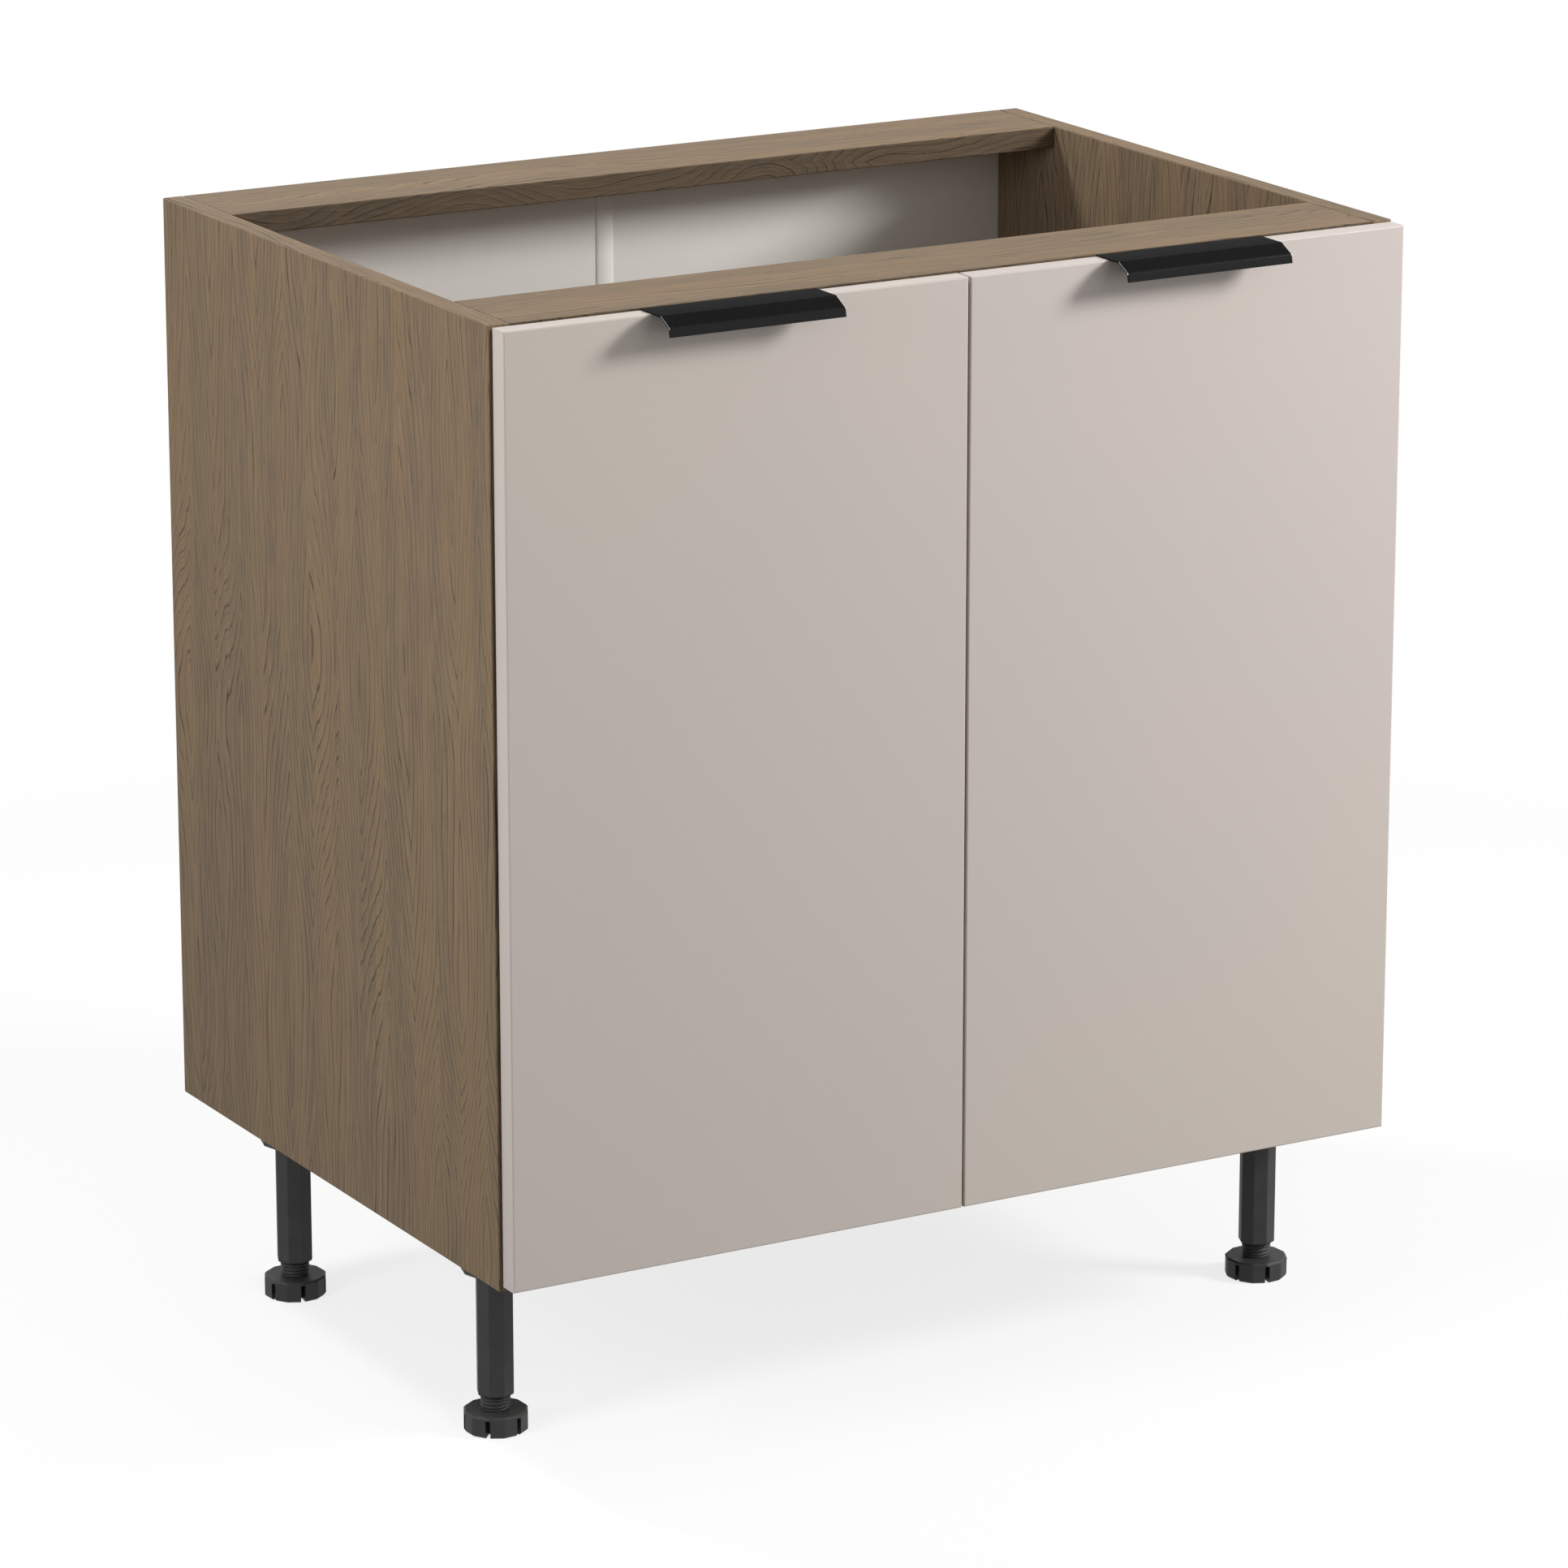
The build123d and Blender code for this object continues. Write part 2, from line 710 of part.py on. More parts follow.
def arm_screws():
    """Fixing and adjusting screws that hold each arm on its plate."""
    with BuildPart() as screws:
        for hand in hands.values():
            top = plan(hand, arm_top, 0)[0]
            for height in hinge_heights.values():
                for step in (-0.5, 0.5):
                    y = door_front + dock_y + step * arm_screw_spacing
                    bar_x(arm_screw_head_radius, top, top - hand * arm_screw_head_height, y, height)
                    bar_x(arm_screw_radius, top, top + hand * arm_screw_length, y, height)
    return screws.part


# Legs
def socket_screw_planes(place):
    """Planes on the floors of a leg socket's screw pockets, looking up."""
    x, y = place
    spots = PolarLocations(socket_screw_circle, socket_screw_count, socket_screw_start)
    return [
        Plane(origin=(x + spot.position.X, y + spot.position.Y, leg_height - socket_plate))
        for spot in spots.local_locations
    ]


def leg_socket(place):
    """Leg socket: a many-sided disc under the bottom, hollowed for the post and for its own screws."""
    with BuildPart() as socket:
        with BuildSketch(Plane.XY.offset(leg_height)):
            with Locations(place):
                RegularPolygon(socket_radius, socket_sides, major_radius=False)
        extrude(amount=-socket_height)
        lower_face = socket.faces().sort_by(Axis.Z)[0]
        chamfer(lower_face.edges(), socket_bevel)
        with BuildSketch(Plane.XY.offset(post_top)):
            with Locations(place):
                RegularPolygon(post_across / 2 + post_play, post_sides, major_radius=False)
                with PolarLocations(socket_screw_circle, socket_screw_count, socket_screw_start):
                    Circle(socket_pocket_radius)
        extrude(amount=socket_plate - socket_height, mode=Mode.SUBTRACT)
        for screw_place in socket_screw_planes(place):
            taper_screw(screw_place, fit_play, Mode.SUBTRACT)
    return socket.part


def leg_post(place):
    """Leg post: an eight-sided tube with a chamfered lower end, bored for the foot's stem."""
    with BuildPart() as post:
        with BuildSketch(Plane.XY.offset(post_bottom)):
            with Locations(place):
                RegularPolygon(post_across / 2, post_sides, major_radius=False)
        extrude(amount=post_top - post_bottom)
        lower_face = post.faces().sort_by(Axis.Z)[0]
        chamfer(lower_face.edges(), post_chamfer)
        bar_z(
            thread_radius + thread_play, post_bottom, post_bottom + post_bore_depth, *place, Mode.SUBTRACT
        )
    return post.part


def leg_foot(place, turn):
    """Foot, turned by some degrees: a many-sided disc with slots round its rim, and a threaded stem
    that runs up the post."""
    x, y = place
    core = thread_radius - thread_depth
    crest = thread_crest_share * thread_pitch / 2
    base = thread_base_share * thread_pitch / 2
    ridges = []
    for ridge in range(thread_turns):
        z = foot_height + (ridge + 0.5) * thread_pitch
        ridges += [(core, z - base), (thread_radius, z - crest), (thread_radius, z + crest), (core, z + base)]
    slot_middle = (foot_slot_start + foot_radius) / 2 + foot_slot_width
    with BuildPart() as foot:
        with BuildSketch(Plane.XY):
            with Locations(place):
                RegularPolygon(foot_radius, foot_sides, major_radius=False, rotation=turn)
        extrude(amount=foot_height)
        rims = foot.faces().filter_by(Axis.Z).edges()
        chamfer(rims, foot_bevel)
        with BuildSketch(Plane.XY):
            with Locations(place):
                with PolarLocations(slot_middle, foot_slots, turn):
                    Rectangle(foot_radius - foot_slot_start + 2 * foot_slot_width, foot_slot_width)
        extrude(amount=foot_height - foot_slot_roof, mode=Mode.SUBTRACT)
        with BuildSketch(Plane(origin=(x, y, 0), x_dir=(1, 0, 0), z_dir=(0, -1, 0))):
            with BuildLine():
                Polyline(
                    (0, foot_height),
                    (core, foot_height),
                    *ridges,
                    (core, foot_height + stem_length),
                    (0, foot_height + stem_length),
                    close=True,
                )
            make_face()
        revolve(axis=Axis((x, y, 0), (0, 0, 1)))
    return foot.part


os.makedirs("parts", exist_ok=True)

# Carcass
with BuildPart() as bottom_panel:
    cross_board("bottom_panel")
    nail_holes(bottom_nails)
    for leg_place in leg_places.values():
        for screw_place in socket_screw_planes(leg_place):
            spot = screw_place.origin
            deep = spot.Z + screw_length
            bar_z(screw_radius + fit_play, bottom_z, deep, spot.X, spot.Y, Mode.SUBTRACT)
with BuildPart() as front_top_rail:
    cross_board("front_top_rail")
with BuildPart() as rear_top_rail:
    cross_board("rear_top_rail")
    nail_holes(rail_nails)
with BuildPart() as cam_locks:
    for board_name in boards:
        cams_of(board_name)
with BuildPart() as cam_bolts:
    for board_name in boards:
        bolts_of(board_name)
with BuildPart() as wooden_dowels:
    for board_name in boards:
        dowels_of(board_name)
    chamfer(wooden_dowels.edges().filter_by(GeomType.CIRCLE), dowel_chamfer)
with BuildPart() as back_panel_nails:
    nail_face = carcass_rear + back_thickness
    for nail_x, nail_z in side_nails[-1] + side_nails[1] + bottom_nails + rail_nails:
        bar_y(nail_radius, nail_face - nail_length, nail_face, nail_x, nail_z)
        bar_y(nail_head_radius, nail_face, nail_face + nail_head_height, nail_x, nail_z)
for hand_name, hand in hands.items():
    save(side_panel(hand), f"side_panel_{hand_name}")
    save(back_panel(hand), f"back_panel_{hand_name}")
save(bottom_panel.part, "bottom_panel")
save(front_top_rail.part, "front_top_rail")
save(rear_top_rail.part, "rear_top_rail")
save(joining_strip(), "back_joining_strip")
save(back_panel_nails.part, "back_panel_nails")
save(cam_locks.part, "cam_locks")
save(cam_bolts.part, "cam_bolts")
save(wooden_dowels.part, "wooden_dowels")
save(shelf_board(), "shelf")
save(shelf_pin_set(), "shelf_pins")

# Doors and hinges
all_plate_planes = []
for hand_name, hand in hands.items():
    save(door_panel(hand), f"door_{hand_name}")
    save(edge_pull(hand), f"handle_{hand_name}")
    save(screw_set([handle_screw_plane(hand, step) for step in (-0.5, 0.5)]), f"handle_screws_{hand_name}")
    save(bumper_pair(hand), f"door_bumpers_{hand_name}")
    save(link_pair(hand), f"hinge_links_{hand_name}")
    save(cup_pins(hand), f"hinge_cup_pins_{hand_name}")
    cup_planes = []
    for level, height in hinge_heights.items():
        save(hinge_cup(hand, height), f"hinge_cup_{hand_name}_{level}")
        save(hinge_arm(hand, height), f"hinge_arm_{hand_name}_{level}")
        save(hinge_plate(hand, height), f"hinge_plate_{hand_name}_{level}")
        cup_planes += [cup_screw_plane(hand, height, step) for step in (-0.5, 0.5)]
        all_plate_planes += plate_screw_planes(hand, height)
    save(screw_set(cup_planes), f"hinge_cup_screws_{hand_name}")
save(screw_set(all_plate_planes), "hinge_plate_screws")
save(arm_pins(), "hinge_arm_pins")
save(arm_screws(), "hinge_arm_screws")

# Legs
all_socket_planes = []
for leg_name, leg_place in leg_places.items():
    save(leg_socket(leg_place), f"leg_socket_{leg_name}")
    save(leg_post(leg_place), f"leg_post_{leg_name}")
    save(leg_foot(leg_place, foot_turns[leg_name]), f"leg_foot_{leg_name}")
    all_socket_planes += socket_screw_planes(leg_place)
save(screw_set(all_socket_planes), "leg_socket_screws")
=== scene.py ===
"""Looks of a kitchen base cabinet with two doors, built around its packed construction.

The file is laid out as an add-on: property groups hold sizes and colours, one operator dresses
each group of pieces, and a panel lists them. Run as a script, it calls the operators in order.
"""

import json
import math

import bmesh
import bpy
import numpy as np
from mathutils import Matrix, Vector

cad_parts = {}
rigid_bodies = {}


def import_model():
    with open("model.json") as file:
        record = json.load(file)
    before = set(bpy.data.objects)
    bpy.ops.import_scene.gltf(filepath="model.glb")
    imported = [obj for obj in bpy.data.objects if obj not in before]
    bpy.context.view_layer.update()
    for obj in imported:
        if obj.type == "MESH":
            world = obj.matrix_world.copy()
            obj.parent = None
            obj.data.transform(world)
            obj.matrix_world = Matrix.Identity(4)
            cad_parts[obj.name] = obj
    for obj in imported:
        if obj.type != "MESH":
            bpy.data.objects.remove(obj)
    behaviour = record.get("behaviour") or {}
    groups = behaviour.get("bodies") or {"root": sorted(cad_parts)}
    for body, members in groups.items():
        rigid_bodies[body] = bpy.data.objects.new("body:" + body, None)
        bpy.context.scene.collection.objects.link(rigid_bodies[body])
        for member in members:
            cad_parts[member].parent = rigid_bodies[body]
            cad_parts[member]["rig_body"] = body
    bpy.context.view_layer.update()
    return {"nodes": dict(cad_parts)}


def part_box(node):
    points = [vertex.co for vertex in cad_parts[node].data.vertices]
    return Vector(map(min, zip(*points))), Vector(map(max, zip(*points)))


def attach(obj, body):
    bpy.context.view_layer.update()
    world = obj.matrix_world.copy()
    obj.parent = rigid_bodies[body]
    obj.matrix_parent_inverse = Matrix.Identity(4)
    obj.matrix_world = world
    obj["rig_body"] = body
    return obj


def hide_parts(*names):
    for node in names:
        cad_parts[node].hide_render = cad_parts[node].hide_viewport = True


bl_info = {
    "name": "Kitchen base cabinet",
    "version": (1, 0, 0),
    "blender": (4, 5, 0),
    "location": "View3D > Sidebar > Cabinet",
    "description": "Dresses a packed kitchen base cabinet and sets a plain studio round it",
    "category": "Object",
}

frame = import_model()

MM = 0.001
HANDS = ("left", "right")
LEVELS = ("lower", "upper")
# How far each foot is turned on its thread, in degrees
FOOT_TURNS = {"front_left": 48.0, "front_right": 19.0, "rear_left": 19.0, "rear_right": 48.0}
# Points nearer than this are one point
WELD = 2e-6
# Faces that meet at less are one face; edges that turn by more are rounded, and shaded sharp
FLAT_ANGLE = math.radians(0.5)
CORNER_ANGLE = math.radians(25)
SHARP_ANGLE = math.radians(38)
# Faces of a board that lie deeper than this are walls of its bores
BORE_DEPTH = 1.0 * MM
# Oak figure: the width of a column of arches and how far it drifts, growth rings to a metre of
# slope, and the rings that the long hills, the sway and the shiver of the lines are high
OAK_COLUMN = 42 * MM
OAK_DRIFT = 60 * MM
OAK_RINGS = 150
OAK_HILL = 32
OAK_SWAY = 2.4
OAK_SHIVER = 0.6
# Between which shares of the slope's fall a pull's rims are bare bright metal, a painted highlight on
# the pulls' ends, and from where on it is glossy
PULL_HIGHLIGHT_RIMS = (0.15, 1.3)
PULL_GLOSSY = 0.93
# Each lamp's place and the side of its square, in metres
LAMPS = {
    "key": ((2.38, -1.88, 2.06), 0.8),
    "front": ((1.4, -4.4, 1.7), 3.0),
    "side": ((-1.8, -0.3, 1.05), 0.6),
    "rear": ((-0.9, 1.5, 2.9), 0.6),
}


def linear(red, green, blue):
    """Linear colour of a display colour given in 0 to 255, by the display's standard curve."""
    share = np.array((red, green, blue)) / 255
    curve = np.where(share <= 0.04045, share / 12.92, ((share + 0.055) / 1.055) ** 2.4)
    return tuple(float(part) for part in curve)


def colour(name, description, red, green, blue):
    """A colour property whose default is given as a display colour."""
    return bpy.props.FloatVectorProperty(
        name=name,
        description=description,
        default=linear(red, green, blue),
        subtype="COLOR",
        size=3,
        min=0,
        max=1,
    )


def length(name, description, millimetres):
    """A length property whose default is given in millimetres."""
    return bpy.props.FloatProperty(
        name=name, description=description, default=millimetres * MM, unit="LENGTH", precision=4
    )


def number(name, description, default):
    """A plain number property."""
    return bpy.props.FloatProperty(name=name, description=description, default=default)


class CabinetFinish(bpy.types.PropertyGroup):
    """Colours of the cabinet's surfaces."""

    oak_warm: colour("Oak warm", "Warm bands of the oak decor", 131, 111, 87)
    oak_grey: colour("Oak grey", "Grey bands of the oak decor", 116, 101, 83)
    oak_pale: colour("Oak pale", "Pale fibres of the oak decor", 150, 127, 101)
    oak_ring: colour("Oak ring", "Early wood lines of the oak decor", 62, 52, 40)
    oak_pore: colour("Oak pore", "Open pores of the oak decor", 46, 39, 30)
    core: colour("Board core", "Raw chipboard inside drilled holes", 176, 148, 110)
    film: colour("Door film", "Satin film of the doors", 202, 192, 185)
    white: colour("White board", "Coated inner face of the thin back", 226, 222, 216)
    fibre: colour("Fibreboard", "Raw rear face of the thin back", 128, 96, 66)
    white_plastic: colour("White plastic", "Joining strip of the back", 232, 229, 223)
    black_metal: colour("Black metal", "Lacquer of the edge pulls", 26, 26, 26)
    # Bright metal of the pulls' rims: a painted highlight where the pulls' ends catch the light
    cut_metal: colour("Cut metal", "Bare rims of the edge pulls", 225, 225, 222)
    black_plastic: colour("Black plastic", "Moulded legs", 44, 43, 42)
    nickel: colour("Nickel", "Plated steel of the hinges and screws", 205, 202, 195)
    zinc: colour("Zinc", "Cast cams and their bolts", 178, 180, 182)
    beech: colour("Beech", "Turned dowels", 205, 172, 128)
    pad: colour("Pad", "Clear soft bumpers", 235, 235, 232)
    # Darker edging of the cross boards, on the faces towards front and back: painted shade, partly a
    # darker decor
    edge_painted_shade: number("Edge shade", "How much darker the cross boards' edging is", 0.45)
    edge_run: number("Edge run", "How much shorter the figure of that edging is", 1.8)


class CabinetSizes(bpy.types.PropertyGroup):
    """Sizes of what is shaped here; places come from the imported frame."""

    board_round: length("Board edge", "Rounding of the boards' edges", 1.0)
    plastic_round: length("Plastic edge", "Rounding of the moulded legs' edges", 0.8)
    metal_round: length("Metal edge", "Rounding of pressed hinge parts", 0.3)
    back_coat: length("Back coat", "Thickness of the coating on the thin back", 0.1)
    strip_crown: length("Strip crown", "How far the joining strip bulges", 1.3)
    strip_edge: length("Strip edge", "Extra fall at the joining strip's edges", 0.3)
    strip_web: length("Strip web", "Web between the two back panels", 2.0)
    strip_end: length("Strip end", "Step from the back's end to the inner flange", 16.0)
    pull_flat: length("Pull flat", "Flat of an edge pull beyond the door's front", 13.0)
    pull_slope_run: length("Pull slope run", "Forward run of a pull's slope", 13.5)
    pull_slope_drop: length("Pull slope drop", "Fall of a pull's slope", 6.8)
    pull_lip_drop: length("Pull lip", "Fall of a pull's lip", 6.9)
    pull_lip_lean: length("Pull lip lean", "Forward lean of a pull's lip", 1.5)
    pull_bend: length("Pull bend", "Outer radius of a pull's bends", 1.8)
    pull_rim: length("Pull rim", "Width of the bare rim at a pull's ends", 0.3)
    screw_shank: length("Screw shank", "Radius of a wood screw's shank", 1.75)
    screw_sink: length("Screw sink", "Height of a countersunk head", 1.6)
    screw_dome: length("Screw dome", "Rise of a countersunk head's middle", 0.25)
    arm_screw_shank: length("Arm screw shank", "Radius of an arm screw's shank", 2.0)
    arm_screw_head: length("Arm screw head", "Height of an arm screw's head", 2.0)
    arm_screw_dome: length("Arm screw dome", "Rise of an arm screw's middle", 0.4)
    drive_half: length("Drive half width", "Half width of a cross recess", 0.5)
    drive_depth: length("Drive depth", "Depth of a cross recess", 1.1)
    foot_radius: length("Foot radius", "Distance of a foot's flats from its middle", 25.0)
    foot_bevel: length("Foot bevel", "Bevel of a foot's rims", 1.5)
    foot_height: length("Foot height", "Height of a foot's disc", 17.0)
    foot_slot_width: length("Foot slot width", "Width of a foot's slots", 4.0)
    foot_slot_start: length("Foot slot start", "Distance of a slot's floor from the middle", 14.0)
    foot_slot_roof: length("Foot slot roof", "Wall left above a foot's slots", 2.5)
    thread_radius: length("Thread radius", "Outer radius of a foot's thread", 11.85)
    thread_depth: length("Thread depth", "Depth of a foot's thread", 1.15)
    thread_pitch: length("Thread pitch", "Rise of one turn of a foot's thread", 3.0)
    pad_rim: length("Pad rim", "Height of a bumper's rim", 1.0)


class CabinetStage(bpy.types.PropertyGroup):
    """Camera, lamps and floor."""

    lens: number("Lens", "Focal length in millimetres on a 36 mm sensor", 161.0)
    camera_place: bpy.props.FloatVectorProperty(
        name="Camera place",
        description="Where the camera stands",
        default=(-2.7154, -4.7191, 1.9757),
        subtype="TRANSLATION",
    )
    camera_dip: bpy.props.FloatProperty(
        name="Camera dip",
        description="How far the camera looks down",
        default=0.2763,
        subtype="ANGLE",
    )
    camera_turn: bpy.props.FloatProperty(
        name="Camera turn",
        description="How far the camera turns from +Y",
        default=-0.5218,
        subtype="ANGLE",
    )
    aim_height: length("Aim height", "Height on the cabinet's middle that the lamps face", 500.0)
    key_power: number("Key power", "Watts of the lamp at the upper right", 103.0)
    front_power: number("Front power", "Watts of the broad lamp in front", 34.0)
    side_power: number("Side power", "Watts of the lamp at the left", 13.3)
    rear_power: number("Rear power", "Watts of the high lamp behind", 49.0)
    ambient: number("Ambient", "Strength of the even light all round", 0.22)
    floor_bounce: number("Floor bounce", "Share of light that the floor gives back", 0.2)
    floor_white: number("Floor white", "Share of plain white in the floor as seen", 0.8)
    floor_half: length("Floor half", "Half the floor's side", 20000.0)
    fade_start: length("Fade start", "Distance at which the floor turns plain white", 600.0)
    fade_end: length("Fade end", "Distance from which the floor is plain white", 1900.0)


class Wire:
    """One shader value. Sums, differences, products and powers add Math nodes."""

    def __init__(self, shader, socket):
        self.shader = shader
        self.socket = socket

    def __add__(self, other):
        return self.shader.math("ADD", self, other)

    def __radd__(self, other):
        return self.shader.math("ADD", other, self)

    def __sub__(self, other):
        return self.shader.math("SUBTRACT", self, other)

    def __rsub__(self, other):
        return self.shader.math("SUBTRACT", other, self)

    def __mul__(self, other):
        return self.shader.math("MULTIPLY", self, other)

    def __rmul__(self, other):
        return self.shader.math("MULTIPLY", other, self)

    def __pow__(self, other):
        return self.shader.math("POWER", self, other)

    def fold(self, width):
        """Back and forth between 0 and a width."""
        return self.shader.math("PINGPONG", self, width)

    def floor(self):
        """The whole number below."""
        return self.shader.math("FLOOR", self)

    def most(self, other):
        """The larger of two values."""
        return self.shader.math("MAXIMUM", self, other)


class Shader:
    """The node tree of a material or a world and the ways to add to it."""

    def __init__(self, owner):
        owner.use_nodes = True
        self.owner = owner
        self.tree = owner.node_tree

    def node(self, kind, settings=None, inputs=None, output=0):
        """Adds a node, its settings first and then its sockets, and gives one of its outputs."""
        made = self.tree.nodes.new(kind)
        for name, value in (settings or {}).items():
            setattr(made, name, value)
        for name, value in (inputs or {}).items():
            self.feed(made.inputs[name], value)
        return Wire(self, made.outputs[output])

    def feed(self, socket, value):
        """Links a wire to a socket, or sets the socket's own value."""
        if isinstance(value, Wire):
            self.tree.links.new(value.socket, socket)
        elif socket.type == "RGBA":
            socket.default_value = (*value[:3], 1)
        else:
            socket.default_value = value

    def math(self, operation, *values):
        """A Math node on wires and numbers."""
        return self.node("ShaderNodeMath", {"operation": operation}, dict(enumerate(values)))

    def place(self):
        """The three object coordinates as wires, named by axis."""
        spot = self.node("ShaderNodeTexCoord", output="Object")
        parts = self.node("ShaderNodeSeparateXYZ", inputs={0: spot}).socket.node.outputs
        return {axis: Wire(self, part) for axis, part in zip("XYZ", parts)}

    def noise(self, spot, detail=2.0, roughness=0.5):
        """Smooth noise at a place given by three wires; its mean is about one half."""
        vector = self.node("ShaderNodeCombineXYZ", inputs=dict(enumerate(spot)))
        inputs = {"Vector": vector, "Scale": 1.0, "Detail": detail, "Roughness": roughness}
        return self.node("ShaderNodeTexNoise", {"noise_dimensions": "3D"}, inputs, "Fac")

    def speckle(self, scale, detail=2.0, roughness=0.5):
        """Noise that is alike in all directions, with so many cells to a metre."""
        spot = self.node("ShaderNodeTexCoord", output="Object")
        inputs = {"Vector": spot, "Scale": scale, "Detail": detail, "Roughness": roughness}
        return self.node("ShaderNodeTexNoise", {"noise_dimensions": "3D"}, inputs, "Fac")

    def step(self, value, low, high):
        """A soft step from 0 at low to 1 at high."""
        settings = {"interpolation_type": "SMOOTHSTEP"}
        inputs = {"Value": value, "From Min": low, "From Max": high}
        return self.node("ShaderNodeMapRange", settings, inputs, "Result")

    def mix(self, factor, first, second):
        """A colour between two colours."""
        settings = {"data_type": "RGBA"}
        return self.node("ShaderNodeMix", settings, {0: factor, 6: first, 7: second}, 2)

    def bump(self, height, distance, strength=1.0):
        """A normal from a height in 0 to 1 that stands for so many metres."""
        inputs = {"Height": height, "Distance": distance, "Strength": strength}
        return self.node("ShaderNodeBump", None, inputs, "Normal")

    def finish(self, **sockets):
        """Feeds the surface's sockets, with underscores for spaces, and gives the material."""
        surface = self.tree.nodes["Principled BSDF"]
        for name, value in sockets.items():
            self.feed(surface.inputs[name.replace("_", " ")], value)
        return self.owner


def new_material(name):
    """A new material's shader."""
    return Shader(bpy.data.materials.new(name))


def finishes():
    """The colours that are set now."""
    return bpy.context.scene.cabinet_finish


def sizes():
    """The sizes that are set now."""
    return bpy.context.scene.cabinet_sizes


# Materials
def oak(name, grain, across, shade=1.0, run=1.0):
    """Oak decor. Growth rings are contour lines of a height over the board: a slope that folds back
    and forth in columns, long hills and small waves. They run even where the slope wins and close to
    pointed arches where a hill does. Each ring has a dark early line, a pale late line and fine lines
    between. The dark ones change in strength from ring to ring and along the grain, and are broken
    here and there. Fibres, pores and bands of warm and grey tone are noise stretched along the grain.
    Shade darkens all colours, which paints shade where it is used, and run shortens the figure."""
    look = finishes()
    tones = ("warm", "grey", "pale", "ring", "pore")
    warm, grey, pale, dark, black = (
        tuple(shade * part for part in getattr(look, f"oak_{tone}")) for tone in tones
    )
    shader = new_material(name)
    axes = shader.place()
    depth = next(axis for axis in "XYZ" if axis not in (grain, across))
    u, v, w = axes[across], axes[grain] * run, axes[depth]

    def grained(narrow, long, detail=1.0, roughness=0.5):
        """Noise with so many cells to a metre across the grain and along it."""
        return shader.noise((u * narrow, v * long, w * narrow), detail, roughness)

    def lines(rings, sharpness):
        """1 in the middle of each ring and 0 at its ends, thinner the sharper."""
        return (rings.fold(0.5) * 2) ** sharpness

    slope = (u + grained(6, 1.2) * OAK_DRIFT).fold(OAK_COLUMN) * OAK_RINGS
    hill = shader.noise((u * 2.2, v * 2.2, w * 4), 1.0) * OAK_HILL
    count = slope + hill + grained(38, 4) * OAK_SWAY + grained(110, 11) * OAK_SHIVER
    early = lines(count, 8)
    late = lines(count + 0.3, 5)
    fine = lines(count * 3, 4)
    strength = shader.step(shader.noise((count.floor() * 0.61, v * 3.5, 0), 1.0), 0.36, 0.64)
    whole = shader.step(grained(160, 12), 0.34, 0.56)
    line = (early * (0.35 + strength * 0.65) + fine * 0.45) * (0.45 + whole * 0.6)
    fibre = grained(420, 22, 2.0, 0.65)
    pore = shader.step(grained(420, 60), 0.62, 0.74) * (0.25 + early * 0.75)
    band = shader.step(grained(40, 1.2), 0.36, 0.64)
    tone = shader.mix(band, warm, grey)
    tone = shader.mix(shader.step(fibre, 0.40, 0.62) * 0.45 + late * 0.45, tone, pale)
    tone = shader.mix(line, tone, dark)
    tone = shader.mix(pore * 0.6, tone, black)
    relief = fibre * 0.35 - pore - line
    return shader.finish(
        Base_Color=tone,
        Roughness=0.56 + fibre * 0.16,
        Normal=shader.bump(relief, 0.12 * MM, 0.6),
        Specular_IOR_Level=0.15,
    )


def chipboard():
    """Raw chipboard in drilled holes: pale and dark flakes."""
    shader = new_material("board_core")
    flake = shader.step(shader.speckle(900, 3.0, 0.7), 0.5, 0.72)
    pale = finishes().core
    dark = tuple((part + shade) / 2 for part, shade in zip(pale, (0.05, 0.03, 0.02)))
    return shader.finish(Base_Color=shader.mix(flake, pale, dark), Roughness=0.9)


def door_film():
    """Satin film: a slow drift of tone and a faint ripple."""
    shader = new_material("door_film")
    film = finishes().film
    cool = tuple(part * share for part, share in zip(film, (0.99, 0.98, 1.0)))
    warm = tuple(part * share for part, share in zip(film, (1.0, 0.995, 0.97)))
    drift = shader.step(shader.speckle(2.2, 1.0), 0.35, 0.65)
    ripple = shader.speckle(420, 2.0)
    return shader.finish(
        Base_Color=shader.mix(drift, cool, warm),
        Roughness=0.36 + shader.speckle(30, 2.0) * 0.1,
        Normal=shader.bump(ripple, 0.06 * MM, 0.25),
        Specular_IOR_Level=0.4,
    )


def back_board():
    """Thin back: a coated white face towards the room, raw fibreboard behind and at its edges."""
    shader = new_material("back_board")
    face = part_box("back_panel_left")[0].y
    coat = sizes().back_coat
    raw = shader.step(shader.place()["Y"], face + 0.5 * coat, face + 1.5 * coat)
    mottle = shader.speckle(260, 3.0, 0.7)
    dark = tuple(part * 0.7 for part in finishes().fibre)
    fibre = shader.mix(shader.step(mottle, 0.35, 0.7), finishes().fibre, dark)
    grey = tuple(part * 0.96 for part in finishes().white)
    white = shader.mix(shader.speckle(60, 2.0), finishes().white, grey)
    return shader.finish(
        Base_Color=shader.mix(raw, white, fibre),
        Roughness=0.42 + raw * 0.4,
        Normal=shader.bump(mottle, 0.1 * MM, 0.3),
    )


def plastic(name, tone, grain, roughness):
    """Moulded plastic: a fine spark-eroded grain and slightly uneven gloss."""
    shader = new_material(name)
    cloud = shader.speckle(45, 3.0)
    pale = tuple(part + 0.012 for part in tone)
    return shader.finish(
        Base_Color=shader.mix(shader.step(cloud, 0.3, 0.7), tone, pale),
        Roughness=roughness + cloud * 0.12,
        Normal=shader.bump(shader.speckle(grain, 2.0, 0.6), 0.12 * MM, 0.4),
        Specular_IOR_Level=0.35,
    )


